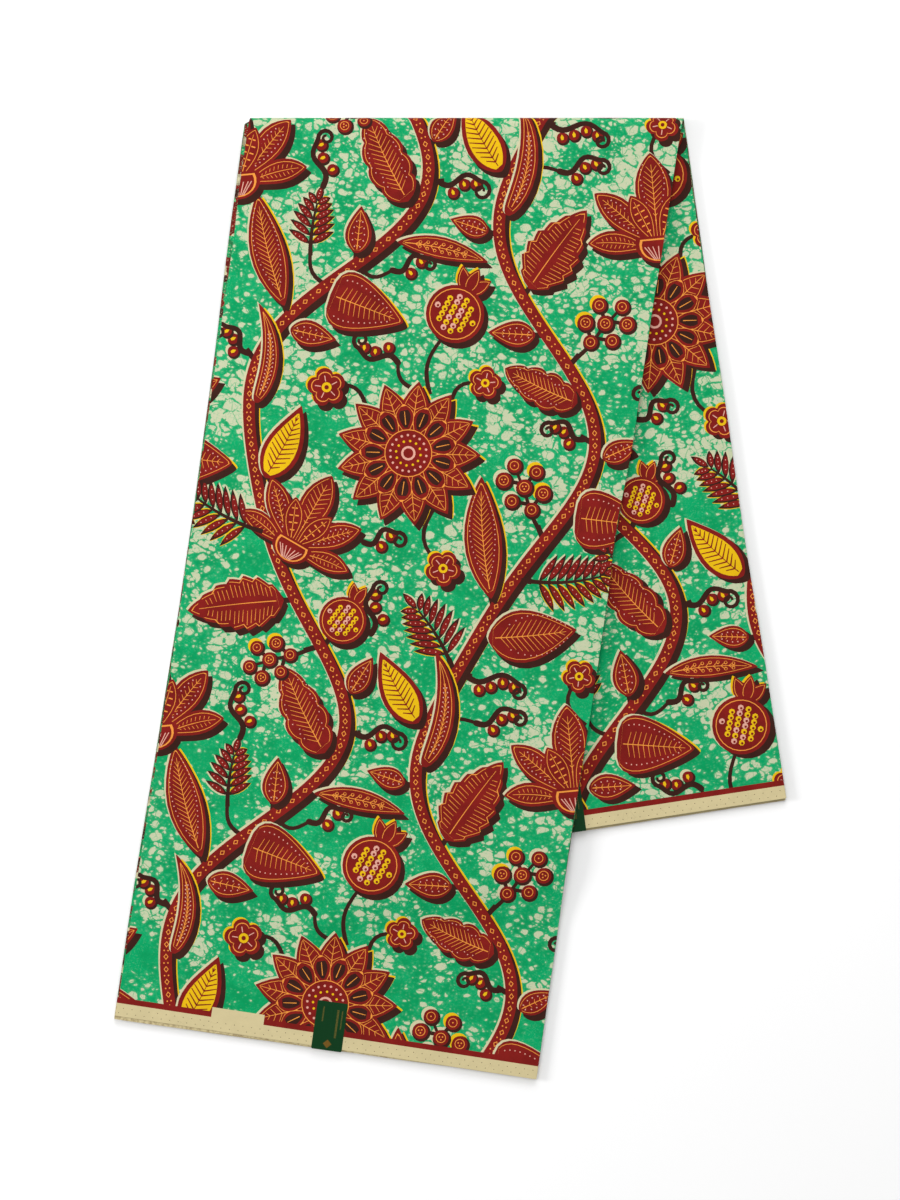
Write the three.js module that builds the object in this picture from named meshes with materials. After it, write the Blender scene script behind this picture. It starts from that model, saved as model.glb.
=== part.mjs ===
// A length of wax print cotton as it is sold: folded lengthwise to and fro into a flat strip of
// many leaves, then folded over once, so that two panels fan out from one rounded fold and lie flat.
// Millimetres, +Z up. The origin is the middle of the footprint, on the surface that it lies on.
//
// Every piece is a stretch of the same strip, so every point is given in the strip's own measures:
//   across  from the strip's middle line to the right, seen from above at the front panel
//   along   from the crest of the fold, positive down the front panel and negative down the back one
//   depth   from the outermost leaf inwards: the front panel's top face and the back panel's underside
import * as THREE from "three";

// The cloth and how it is folded
const clothWidth = 1200; // selvedge to selvedge, which is the length of the strip
const frontLength = 679; // crest to the front hem
const backLength = clothWidth - frontLength;
const stripWidth = 305;
const lean = THREE.MathUtils.degToRad(8.6); // of each panel from the upright, to its own side
const panelThickness = 5; // one panel's leaves, pressed flat
const leafWall = 1; // the leaf that shows, with the one folded under it
const seamGap = 0.3;
const labelWall = 0.4;

// How the front panel rides over the back one
const crestRadius = 6; // outside of the fold, which stays springy
const overlapLift = panelThickness + labelWall + 2 * seamGap; // underside of the front panel there
const crestLift = 2 * crestRadius - panelThickness;
const crestSettles = 70; // the springy fold has settled this far down the panel
const stepWidth = 56; // the soft step from the back panel down to the surface
const stepMargin = 12; // the front panel is still level this far past the back panel's edge
const tuckedTail = 14; // the outermost leaf goes on under the fold this far

const quarterFold = (crestRadius * Math.PI) / 2;
const noseInset = 0.25; // rounding of a leaf's edge
const grooveInset = 1.1; // between two groups of hidden leaves

// How far the top leaf's edges wander from the straight strip, outwards positive
const frontEdges = [
  { along: -30, left: 1.0, right: 3.4 },
  { along: 8, left: 1.2, right: 0.8 },
  { along: 70, left: 0.8, right: 0.9 },
  { along: 120, left: -0.6, right: 0.2 },
  { along: 215, left: -1.1, right: 0.6 },
  { along: 285, left: -1.4, right: -2.0 },
  { along: 330, left: -1.6, right: -0.6 },
  { along: 395, left: -1.8, right: -0.2 },
  { along: 500, left: -1.5, right: -1.1 },
  { along: 600, left: -0.4, right: 0.2 },
  { along: 680, left: 0.0, right: 0.7 },
];
const backEdges = [
  { along: -522, left: 0.4, right: 0.9 },
  { along: -430, left: -0.3, right: 0.4 },
  { along: -335, left: 0.2, right: -0.8 },
  { along: -230, left: 0.0, right: 0.0 },
  { along: -100, left: -0.4, right: -0.6 },
  { along: 0, left: 0.5, right: 1.0 },
];

// Hidden leaves in four groups, outermost first. Each stands out past the straight strip by these
// amounts at the crest, half way down a panel and at the hem, and its hems end past the top leaf's.
const leafGroups = [
  { leftCrest: 3.6, leftMiddle: -1.2, leftHem: 1.3, rightCrest: -1.6, rightMiddle: -2.4, rightHem: -0.6, frontHem: 1.9, backHem: -0.8 },
  { leftCrest: 2.2, leftMiddle: -2.0, leftHem: 0.4, rightCrest: 0.9, rightMiddle: -1.3, rightHem: 0.2, frontHem: 0.6, backHem: 1.2 },
  { leftCrest: 2.9, leftMiddle: -0.9, leftHem: 1.0, rightCrest: -0.8, rightMiddle: -2.0, rightHem: -1.4, frontHem: 1.5, backHem: 0.3 },
  { leftCrest: 1.0, leftMiddle: -1.6, leftHem: -0.5, rightCrest: 0.2, rightMiddle: -1.6, rightHem: -0.4, frontHem: -0.4, backHem: -1.0 },
];

// Long, low swells that are left in the pressed panel: a height at a place, fading over its reach
const swells = [
  { across: 118, along: 62, height: 0.9, reachAcross: 34, reachAlong: 60 },
  { across: -96, along: 250, height: 0.7, reachAcross: 60, reachAlong: 120 },
  { across: 60, along: 330, height: 0.6, reachAcross: 90, reachAlong: 70 },
  { across: 128, along: 455, height: 0.8, reachAcross: 30, reachAlong: 80 },
  { across: -40, along: 560, height: 0.6, reachAcross: 110, reachAlong: 60 },
];

// Paper labels stuck on each hem, their ends just past the cloth's
const labelWidth = 22;
const labelLength = 35;
const labels = [
  { name: "label_front", panel: "front", across: 0.5, fromHem: -1.8, turn: 0.6 },
  { name: "label_back", panel: "back", across: -3, fromHem: -1.3, turn: -0.8 },
];

const acrossSteps = 16;
const frontSteps = 20;
const foldSteps = 8;
const backSteps = 13;
const labelAcrossSteps = 4;
const labelAlongSteps = 5;

const smooth = (share) => THREE.MathUtils.smoothstep(share, 0, 1);

/** The value of a column at a place along the strip, eased between the table's rows. */
function fromTable(rows, along, column) {
  const next = rows.findIndex((row) => row.along > along);
  if (next === 0) return rows[0][column];
  if (next < 0) return rows[rows.length - 1][column];
  const [low, high] = [rows[next - 1], rows[next]];
  const share = (along - low.along) / (high.along - low.along);
  return THREE.MathUtils.lerp(low[column], high[column], smooth(share));
}

/** A group's edge at a place along the strip, eased from crest to middle to hem. */
function groupEdge(group, side, along) {
  const share = Math.abs(along) / (along > 0 ? frontLength : backLength);
  const [crest, middle, hem] = [group[side + "Crest"], group[side + "Middle"], group[side + "Hem"]];
  return share < 0.5
    ? THREE.MathUtils.lerp(crest, middle, smooth(2 * share))
    : THREE.MathUtils.lerp(middle, hem, smooth(2 * share - 1));
}

/** How high the front panel's underside lies at a place of the plan. */
function lift(x, y, pastCrest) {
  const down = (crestRadius - y) / Math.cos(lean); // of the back panel, below its crest
  const backAcross = (x - down * Math.sin(lean)) * Math.cos(lean);
  const backAlong = down + backAcross * Math.tan(lean);
  const pastEdge = Math.max(Math.abs(backAcross) - stripWidth / 2 - stepMargin, 0);
  const pastHem = Math.max(backAlong - backLength - stepMargin, 0);
  const level = THREE.MathUtils.lerp(crestLift, overlapLift, smooth(pastCrest / crestSettles));
  return level * (1 - smooth(Math.hypot(pastEdge, pastHem) / stepWidth));
}

/** The swell of the front panel's top at a place of the strip. */
function swell(across, along) {
  let height = 0;
  for (const row of swells) {
    const reach = Math.hypot((across - row.across) / row.reachAcross, (along - row.along) / row.reachAlong);
    height += row.height * (1 - smooth(reach));
  }
  return height;
}

/** Room coordinates of a point of the strip. The crest of the fold runs along x at y = crestRadius. */
function place(across, along, depth) {
  const pastCrest = (along + across * Math.tan(lean)) * Math.cos(lean); // square to the crest
  const x = across * Math.cos(lean) - along * Math.sin(lean);
  const radius = crestRadius - depth;
  if (Math.abs(pastCrest) <= quarterFold) {
    const turn = pastCrest / crestRadius;
    return new THREE.Vector3(x, radius * Math.cos(turn), crestRadius + radius * Math.sin(turn));
  }
  const y = quarterFold - Math.abs(pastCrest);
  if (pastCrest < 0) return new THREE.Vector3(x, y, depth);
  const inside = THREE.MathUtils.clamp((panelThickness - depth) / (panelThickness - leafWall - seamGap), 0, 1);
  const flare = smooth((pastCrest - quarterFold) / stepWidth);
  const top = inside * flare * swell(across, along);
  return new THREE.Vector3(x, y, lift(x, y, pastCrest - quarterFold) + panelThickness - depth + top);
}

/**
 * A closed body in the strip's measures: stations along the strip, levels from the outside in, and
 * acrossSteps between the two edges. A level gives its depth, its edges and its two ends.
 */
function stripBody(stations, levels, steps = acrossSteps) {
  const [lastStation, lastLevel] = [stations.length - 1, levels.length - 1];
  const positions = [];
  const numbers = new Map();
  function vertex(step, station, level) {
    const key = `${step} ${station} ${level}`;
    if (!numbers.has(key)) {
      const { depth, left, right, start, end } = levels[level];
      const row = stations[station];
      const atHem = station === 0 ? start : station === lastStation ? end : 0;
      // Only the two edges move in and out, so that bodies on each other have the same inner points.
      const wander = step === 0 ? -left(row.along) : step === steps ? right(row.along) : 0;
      const across = stripWidth * (step / steps - 0.5) + wander;
      const along = row.along + atHem - row.skew * across * Math.tan(lean);
      numbers.set(key, positions.length / 3);
      positions.push(...place(across, along, depth(row.along)).toArray());
    }
    return numbers.get(key);
  }
  const faces = [];
  // Facing sides are split along the same diagonals, so bodies that lie on each other stay clear.
  function sheet(rows, columns, turned, corner) {
    for (let row = 0; row < rows; row += 1)
      for (let column = 0; column < columns; column += 1) {
        const [a, b] = [corner(row, column), corner(row, column + 1)];
        const [c, d] = [corner(row + 1, column + 1), corner(row + 1, column)];
        faces.push(...(turned ? [a, c, b, a, d, c] : [a, b, c, a, c, d]));
      }
  }
  sheet(lastStation, steps, false, (row, column) => vertex(column, row, 0));
  sheet(lastStation, steps, true, (row, column) => vertex(column, row, lastLevel));
  sheet(lastStation, lastLevel, true, (row, column) => vertex(0, row, column));
  sheet(lastStation, lastLevel, false, (row, column) => vertex(steps, row, column));
  sheet(lastLevel, steps, true, (row, column) => vertex(column, 0, row));
  sheet(lastLevel, steps, false, (row, column) => vertex(column, lastStation, row));
  const geometry = new THREE.BufferGeometry();
  geometry.setAttribute("position", new THREE.Float32BufferAttribute(positions, 3));
  geometry.setIndex(faces);
  geometry.computeVertexNormals();
  return geometry;
}

/** Stations from one place of the strip to another, skewed to follow the crest where they are near it. */
function stationsBetween(from, to, steps, crowding = 1) {
  const rows = [];
  for (let step = 0; step <= steps; step += 1) {
    const along = from + (to - from) * (step / steps) ** crowding;
    const length = along > 0 ? frontLength : backLength;
    rows.push({ along, skew: 1 - Math.abs(along) / length });
  }
  return rows;
}

/** Stations round the fold, evenly spaced over its arc. */
const roundFold = () => stationsBetween(quarterFold, -quarterFold, foldSteps);

/** Stations down the front panel, closer near the fold, from the hem to the fold. */
const downFront = () => stationsBetween(quarterFold, frontLength, frontSteps, 1.25).reverse();

/** Stations down the back panel from a place below the fold to the hem. */
const downBack = (from) => stationsBetween(from, -backLength, backSteps, 1.15);

/** Levels of a single wall whose edges are rounded and wander as the table says. */
function wallLevels(outer, edges, thickness = leafWall) {
  return [0, 0.5, 1].map((share) => {
    const inset = share === 0.5 ? 0 : noseInset;
    return {
      depth: () => outer + share * thickness,
      left: (along) => fromTable(edges, along, "left") - inset,
      right: (along) => fromTable(edges, along, "right") - inset,
      start: -inset,
      end: inset,
    };
  });
}

/** The leaf that shows on the front panel. It goes on round the fold and is tucked under it. */
function frontPanel() {
  const stations = [
    ...downFront(),
    ...roundFold().slice(1),
    ...stationsBetween(-quarterFold, -quarterFold - tuckedTail, 2).slice(1),
  ];
  return stripBody(stations, wallLevels(0, frontEdges));
}

/** The leaf that shows on the back panel: the innermost one of the fold. */
function backPanel() {
  const stations = downBack(-quarterFold - 2);
  return stripBody(stations, wallLevels(panelThickness - leafWall, backEdges));
}

/** All the leaves between the two that show, as one body, in groups that show at its edges. */
function hiddenLayers() {
  const tailEnd = quarterFold + tuckedTail + seamGap;
  // The leaves lie against the outermost one as far as that goes, and then on the surface.
  function outside(along) {
    const bare = smooth((-along - tailEnd) / stepWidth);
    return (leafWall + seamGap) * (1 - bare);
  }
  function inside(along) {
    const back = smooth((quarterFold - along) / (2 * quarterFold));
    return THREE.MathUtils.lerp(panelThickness, panelThickness - leafWall - seamGap, back);
  }
  const levels = [];
  leafGroups.forEach((group, number) => {
    const shares = number === leafGroups.length - 1 ? [0, 0.25, 0.75, 1] : [0, 0.25, 0.75];
    for (const share of shares) {
      const inset = share % 1 === 0 ? grooveInset : 0;
      const portion = (number + share) / leafGroups.length;
      levels.push({
        depth: (along) => THREE.MathUtils.lerp(outside(along), inside(along), portion),
        left: (along) => groupEdge(group, "left", along) - inset,
        right: (along) => groupEdge(group, "right", along) - inset,
        start: group.frontHem - inset,
        end: -group.backHem + inset,
      });
    }
  });
  const stations = [...downFront(), ...roundFold().slice(1), ...downBack(-quarterFold).slice(1)];
  return stripBody(stations, levels);
}

/** A label, laid on a panel's own surface. */
function label(row) {
  const front = row.panel === "front";
  const length = front ? frontLength : backLength;
  const surface = front ? 0 : panelThickness;
  const outwards = front ? -1 : 1;
  const turn = THREE.MathUtils.degToRad(row.turn);
  const middle = length - row.fromHem - labelLength / 2;
  const rise = [seamGap + labelWall, seamGap];
  const positions = [];
  const faces = [];
  const columns = labelAcrossSteps + 1;
  const layer = columns * (labelAlongSteps + 1);
  for (const height of rise)
    for (let j = 0; j <= labelAlongSteps; j += 1)
      for (let i = 0; i <= labelAcrossSteps; i += 1) {
        const u = labelWidth * (i / labelAcrossSteps - 0.5);
        const v = labelLength * (j / labelAlongSteps - 0.5);
        const across = row.across + u * Math.cos(turn) - v * Math.sin(turn);
        const down = middle + u * Math.sin(turn) + v * Math.cos(turn);
        const along = front ? down : -down;
        positions.push(...place(across, along, surface + outwards * height).toArray());
      }
  const quad = (a, b, c, d) => faces.push(a, b, c, a, c, d);
  for (let j = 0; j < labelAlongSteps; j += 1)
    for (let i = 0; i < labelAcrossSteps; i += 1) {
      const a = j * columns + i;
      quad(a, a + columns, a + columns + 1, a + 1);
      quad(layer + a, layer + a + 1, layer + a + columns + 1, layer + a + columns);
    }
  for (let j = 0; j < labelAlongSteps; j += 1)
    for (const [a, b] of [
      [j * columns, (j + 1) * columns],
      [(j + 2) * columns - 1, (j + 1) * columns - 1],
    ])
      quad(b, a, layer + a, layer + b);
  for (let i = 0; i < labelAcrossSteps; i += 1)
    for (const [a, b] of [
      [i + 1, i],
      [labelAlongSteps * columns + i, labelAlongSteps * columns + i + 1],
    ])
      quad(b, a, layer + a, layer + b);
  const geometry = new THREE.BufferGeometry();
  geometry.setAttribute("position", new THREE.Float32BufferAttribute(positions, 3));
  geometry.setIndex(faces);
  geometry.computeVertexNormals();
  return geometry;
}

const printedCotton = new THREE.MeshStandardMaterial({ color: 0x12a873, roughness: 0.7, metalness: 0 });
const printedUnder = new THREE.MeshStandardMaterial({ color: 0x0f9a68, roughness: 0.7, metalness: 0 });
const foldedEdges = new THREE.MeshStandardMaterial({ color: 0x8e1f22, roughness: 0.75, metalness: 0 });
const labelPaper = new THREE.MeshStandardMaterial({ color: 0x0f4b28, roughness: 0.45, metalness: 0 });

const laid = new THREE.Group();
function add(name, geometry, material) {
  const mesh = new THREE.Mesh(geometry, material);
  mesh.name = name;
  laid.add(mesh);
}
add("front_panel", frontPanel(), printedCotton);
add("back_panel", backPanel(), printedUnder);
add("hidden_layers", hiddenLayers(), foldedEdges);
for (const row of labels) add(row.name, label(row), labelPaper);

// The origin goes to the middle of the footprint.
const box = new THREE.Box3().setFromObject(laid);
const middle = box.getCenter(new THREE.Vector3());
laid.position.set(-middle.x, -middle.y, -box.min.z);

const part = new THREE.Group();
part.add(laid);

export default part;
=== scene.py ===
"""A length of wax print cotton, folded into a flat strip of leaves and folded over once.

The print is drawn first, as flat patches of ink in a plane. Each leaf that shows is a thin shell whose upper
face is divided along those patches, so the print is part of the cloth, and follows it over the fold.
The cloth's lengths are millimetres, and become metres where a mesh is made. The studio, the heights of bumps
and the print's UV map, on which the noise of the cloth's finishes lies, are in metres.
"""

import logging
import math
from collections.abc import Callable, Iterable, Sequence
from dataclasses import dataclass
from enum import Enum
from typing import Any, Protocol

import bpy
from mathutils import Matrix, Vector
from mathutils.geometry import delaunay_2d_cdt


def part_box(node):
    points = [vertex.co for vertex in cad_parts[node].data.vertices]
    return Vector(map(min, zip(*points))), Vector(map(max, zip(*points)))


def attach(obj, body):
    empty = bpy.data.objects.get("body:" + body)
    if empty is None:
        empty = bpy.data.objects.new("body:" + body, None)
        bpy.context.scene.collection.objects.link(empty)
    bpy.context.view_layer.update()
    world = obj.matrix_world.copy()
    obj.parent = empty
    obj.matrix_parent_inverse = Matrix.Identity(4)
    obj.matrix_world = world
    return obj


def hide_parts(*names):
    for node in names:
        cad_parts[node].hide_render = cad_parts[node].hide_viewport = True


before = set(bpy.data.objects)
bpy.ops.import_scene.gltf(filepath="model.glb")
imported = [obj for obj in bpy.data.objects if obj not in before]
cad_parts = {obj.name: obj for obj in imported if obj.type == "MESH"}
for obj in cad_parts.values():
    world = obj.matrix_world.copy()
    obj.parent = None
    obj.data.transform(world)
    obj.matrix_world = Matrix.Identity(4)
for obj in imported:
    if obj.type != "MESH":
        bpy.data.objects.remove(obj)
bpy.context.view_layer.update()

MM = 0.001
BODY = "root"
PRINT_MAP = "Print"
BAKE_MAP = "OFBake"
Point = tuple[float, float]
Place = tuple[float, float, float]
Colour = tuple[float, float, float]

log = logging.getLogger("wax_print")


def smooth(share: float) -> float:
    """A share held between 0 and 1 and eased at both ends."""
    held = min(max(share, 0.0), 1.0)
    return held * held * (3 - 2 * held)


def lerp(low: float, high: float, share: float) -> float:
    """The value a share of the way from low to high."""
    return low + (high - low) * share


def linear(red: int, green: int, blue: int) -> Colour:
    """A colour of 8-bit values as the linear values that a shader takes."""
    shares = (value / 255 for value in (red, green, blue))
    return tuple(s / 12.92 if s <= 0.04045 else ((s + 0.055) / 1.055) ** 2.4 for s in shares)


# ---------------------------------------------------------------- the print


class Ink(Enum):
    """What dyes a patch of the print. The value is the name of its finish."""

    GROUND = "crackled_green"
    CREAM = "bare_cream"
    YELLOW = "yellow"
    BROWN = "brown_shadow"
    RED = "deep_red"
    GOLD = "gold_line"
    PALE = "pale_line"
    SELVEDGE = "woven_selvedge"


class Stage(Enum):
    """The layers of one motif: blocks that were printed out of register show at its sides."""

    HALO = 0
    SHADOW = 1
    BODY = 2


HALO_SHIFT = (-1.3, 1.1)
SHADOW_SHIFT = (3.7, -3.6)
GLOW_SHIFT = (4.3, -2.4)
FINE_LINE = 0.46
MIDRIB = 0.68
STALK = 3.4


@dataclass(frozen=True)
class Patch:
    """A flat area of one ink, with its place in the order of painting."""

    outline: tuple[Point, ...]
    ink: Ink
    order: tuple[int, int, int]

    def moved(self, dx: float, dy: float) -> "Patch":
        """The same patch in another place."""
        return Patch(tuple((x + dx, y + dy) for x, y in self.outline), self.ink, self.order)

    def box(self) -> tuple[float, float, float, float]:
        """Its least x and y and its greatest x and y."""
        xs = [x for x, _ in self.outline]
        ys = [y for _, y in self.outline]
        return min(xs), min(ys), max(xs), max(ys)


def ring(x: float, y: float, radius: float, sides: int = 12) -> list[Point]:
    """A round outline of a number of sides about a point."""
    angles = (math.tau * n / sides for n in range(sides))
    return [(x + radius * math.cos(a), y + radius * math.sin(a)) for a in angles]


def ribbon(path: Sequence[Point], width: float, taper: float = 1.0) -> list[Point]:
    """The outline of a stroke along a path.

    Args:
        path: The points of its middle line.
        width: Its width where it starts.
        taper: Its width at the end, as a share of the width where it starts.

    Returns:
        The points of one side and then, backwards, those of the other.
    """
    left, right = [], []
    last = len(path) - 1
    for n, (x, y) in enumerate(path):
        ahead, behind = path[min(n + 1, last)], path[max(n - 1, 0)]
        dx, dy = ahead[0] - behind[0], ahead[1] - behind[1]
        run = math.hypot(dx, dy)
        half = width / 2 * lerp(1.0, taper, n / last)
        left.append((x - dy / run * half, y + dx / run * half))
        right.append((x + dy / run * half, y - dx / run * half))
    return left + right[::-1]


@dataclass
class Pen:
    """Draws patches from a motif's own axes: x to its side and y from its foot to its tip."""

    patches: list[Patch]
    rank: int = 0
    x: float = 0.0
    y: float = 0.0
    turn: float = 0.0
    size: float = 1.0
    flip: float = 1.0

    def seen(self, outline: Iterable[Point]) -> list[Point]:
        """Points of the motif's axes in the plane of the print."""
        c = math.cos(math.radians(self.turn)) * self.size
        s = math.sin(math.radians(self.turn)) * self.size
        flipped = ((px * self.flip, py) for px, py in outline)
        return [(self.x + c * px - s * py, self.y + s * px + c * py) for px, py in flipped]

    def at(self, x: float, y: float, turn: float = 0.0, size: float = 1.0, flip: float = 1.0) -> "Pen":
        """A pen on this one's axes, moved, then turned by degrees, sized and mirrored."""
        ((px, py),) = self.seen([(x, y)])
        turned = self.turn + turn * self.flip
        return Pen(self.patches, self.rank, px, py, turned, self.size * size, self.flip * flip)

    def _add(self, outline: Iterable[Point], ink: Ink, stage: Stage) -> None:
        """Adds a patch whose outline is in the plane of the print."""
        order = (self.rank, stage.value, len(self.patches))
        self.patches.append(Patch(tuple(outline), ink, order))

    def fill(self, outline: Iterable[Point], ink: Ink, stage: Stage = Stage.BODY) -> None:
        """Fills an outline with an ink."""
        self._add(self.seen(outline), ink, stage)

    def body(self, outline: Iterable[Point], halo: Ink = Ink.CREAM, ink: Ink = Ink.RED,
             glow: bool = False) -> None:
        """Fills a motif's outline, with the bare cloth and the shadow that show past two of its sides.

        Args:
            outline: The motif's outline.
            halo: What shows past its upper left side.
            ink: What fills it.
            glow: Whether a sliver of yellow shows past the shadow too.
        """
        seen = self.seen(outline)
        blocks = [(HALO_SHIFT, halo, Stage.HALO), (SHADOW_SHIFT, Ink.BROWN, Stage.SHADOW)]
        if glow:
            blocks.append((GLOW_SHIFT, Ink.YELLOW, Stage.HALO))
        for (dx, dy), block, stage in blocks:
            self._add(((x + dx, y + dy) for x, y in seen), block, stage)
        self._add(seen, ink, Stage.BODY)

    def stroke(self, path: Sequence[Point], width: float, ink: Ink, taper: float = 1.0,
               stage: Stage = Stage.BODY) -> None:
        """Draws a line whose width stays the same at any size of the motif."""
        self.fill(ribbon(path, width / self.size, taper), ink, stage)

    def coil(self, path: Sequence[Point], width: float, ink: Ink, taper: float, stage: Stage) -> None:
        """Draws a line that may cross itself, piece by piece."""
        outline = ribbon(path, width / self.size, taper)
        for n in range(len(path) - 1):
            self.fill((outline[n], outline[n + 1], outline[-n - 2], outline[-n - 1]), ink, stage)

    def dot(self, x: float, y: float, radius: float, ink: Ink, sides: int = 6) -> None:
        """A dot whose radius stays the same at any size of the motif."""
        self.fill(ring(x, y, radius / self.size, sides), ink)

    def bead(self, x: float, y: float, radius: float, halo: Ink = Ink.CREAM) -> None:
        """A round red bead in a brown ring, which is thicker at its lower right."""
        ((cx, cy),) = self.seen([(x, y)])
        outer = radius * self.size
        for shift, share, ink, stage in ((-1.0, 1.0, halo, Stage.HALO), (0.9, 1.0, Ink.BROWN, Stage.BODY),
                                         (0.0, 0.84, Ink.RED, Stage.BODY)):
            self._add(ring(cx + shift, cy - shift, outer * share, 16), ink, stage)


class Motif(Protocol):
    """Anything that a pen can draw."""

    def draw(self, pen: Pen) -> None:
        """Draws the motif from its foot at the pen's own place."""


class Shape(Enum):
    """The outline of a leaf."""

    OVATE = "ovate"
    LANCE = "lance"
    SABRE = "sabre"
    PETAL = "petal"
    TOOTHED = "toothed"
    HEART = "heart"
    LOBED = "lobed"

    def swell(self, t: float) -> float:
        """How wide the leaf is, as a share of its full width, a share t up its length."""
        if self is Shape.OVATE:
            return math.sin(math.pi * t**0.72) ** 0.9
        if self is Shape.LANCE:
            return math.sin(math.pi * t**0.9) ** 0.85
        if self is Shape.SABRE:
            return 1.7 * t**0.45 * (1 - t) ** 0.8
        if self is Shape.PETAL:
            return math.sin(math.pi * t**1.5) ** 0.8
        if self is Shape.TOOTHED:
            return math.sin(math.pi * t**0.75) ** 0.85 * (0.9 + 0.2 * (t * 7 % 1))
        if self is Shape.LOBED:
            return math.sin(math.pi * t**0.8) ** 0.62 * (0.8 + 0.2 * abs(math.sin(4 * math.pi * t)) ** 0.6)
        return math.sin(math.pi * t**0.5) ** 0.72 * (1 - 0.12 * t)


class Veins(Enum):
    """The line work inside a leaf. The value is the space between two veins."""

    HERRINGBONE = 3.6
    DOTTED = 3.4
    COMB = 2.9
    BARS = 4.2
    SCROLLS = 6.5
    NONE = 0.0


@dataclass(frozen=True)
class Leaf:
    """A leaf or petal, which may bend, with a line inside its edge and veins of some weight."""

    length: float
    width: float
    shape: Shape = Shape.LANCE
    veins: Veins = Veins.HERRINGBONE
    bend: float = 0.0
    halo: Ink = Ink.CREAM
    field: Ink = Ink.RED
    line: Ink = Ink.GOLD
    steps: int = 14
    glow: bool = False
    weight: float = 1.0

    @property
    def dotted(self) -> bool:
        """Whether a row of dots goes outside the herringbone, as it does in a wide red leaf."""
        return self.width > 24 and self.field is Ink.RED

    def on(self, t: float, side: float) -> Point:
        """A point a share t up the leaf's bent middle line, and off it to one side."""
        bend = math.radians(self.bend)
        if not bend:
            return side, t * self.length
        radius, angle = self.length / bend, t * bend
        return radius * (math.cos(angle) - 1) + side * math.cos(angle), (radius + side) * math.sin(angle)

    def edge(self, inset: float = 0.0, start: float = 0.0, end: float = 1.0) -> list[Point]:
        """The leaf's outline, moved in by an inset, between two shares of its length."""
        if self.shape in (Shape.TOOTHED, Shape.LOBED):
            shares = [n / 28 for n in range(29)]
        else:
            shares = [0.5 - 0.5 * math.cos(math.pi * n / self.steps) for n in range(self.steps + 1)]
        ts = [lerp(start, end, share) for share in shares]
        halves = [max(self.width / 2 * self.shape.swell(t) - inset, 0.0) for t in ts]
        right = [self.on(t, half) for t, half in zip(ts, halves)]
        left = [self.on(t, -half) for t, half in zip(ts[1:-1], halves[1:-1]) if half > 0]
        return right + left[::-1]

    def draw(self, pen: Pen) -> None:
        """Draws the leaf."""
        pen.body(self.edge(), self.halo, Ink.RED, self.glow)
        gap = min(2.1, self.width * 0.12)
        for inset, ink in ((gap, self.line), (gap + FINE_LINE * self.weight, self.field)):
            pen.fill(self.edge(inset, 0.045 + 0.1 * inset / self.width, self.tip(inset)), ink)
        if self.veins is Veins.NONE:
            return
        pen.stroke([self.on(0.08 + 0.1 * n, 0) for n in range(9)], MIDRIB, self.line, 0.5)
        count = max(int(self.length * 0.7 / self.veins.value), 2)
        for n in range(count):
            t = 0.14 + 0.66 * n / (count - 1)
            for side in (-1, 1):
                self.vein(pen, t, side, gap + 2.4)

    def tip(self, inset: float) -> float:
        """How far up its length the leaf is still wide enough to hold an inset at both sides."""
        return max(n / 80 for n in range(40, 80) if self.width / 2 * self.shape.swell(n / 80) > inset + 0.05)

    def reach(self, t: float, margin: float) -> float:
        """How far a vein may go to the side, a share t up the leaf."""
        return max(self.width / 2 * self.shape.swell(min(t, 1.0)) - margin, 0.0)

    def vein(self, pen: Pen, t: float, side: int, margin: float) -> None:
        """Draws the vein on one side of the middle line, a share t up the leaf."""
        reach = self.reach(t, margin)
        if reach < (2.4 if self.veins is Veins.SCROLLS else 1.0):
            return
        if self.veins is Veins.HERRINGBONE:
            out = min(reach, self.reach(t + 0.05, margin) + 0.4) * (0.78 if self.dotted else 1)
            rise = 0.42 * reach / self.length
            tip = self.on(min(t + rise + 0.03, 0.92), side * out)
            pen.stroke([self.on(t, 0), tip], FINE_LINE * self.weight, self.line, 0.6)
            if self.dotted:
                pen.dot(*self.on(min(t + rise + 0.05, 0.92), side * reach), 0.5, Ink.PALE, 5)
        elif self.veins is Veins.DOTTED:
            pen.dot(*self.on(t, side * reach * 0.86), 0.55, Ink.PALE, 5)
            pen.stroke([self.on(t, 0), self.on(t + 0.035, side * reach * 0.56)], FINE_LINE, self.line, 0.6)
        elif self.veins is Veins.COMB:
            tooth = [self.on(t, side * reach), self.on(t - 0.02, side * reach * 0.35)]
            pen.stroke(tooth, FINE_LINE, self.line, 0.6)
        elif self.veins is Veins.BARS:
            pen.stroke([self.on(t, side * reach * 0.25), self.on(t, side * reach)], 2 * FINE_LINE, self.line)
        else:
            x, y = self.on(t + 0.02, side * reach * 0.62)
            pen.fill(ring(x, y, 1.6, 8), self.line)
            pen.fill(ring(x + side * 0.2, y + 0.1, 1.05, 6), self.field)
            pen.stroke([self.on(t - 0.03, 0), self.on(t, side * reach * 0.5)], FINE_LINE, self.line)


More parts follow.
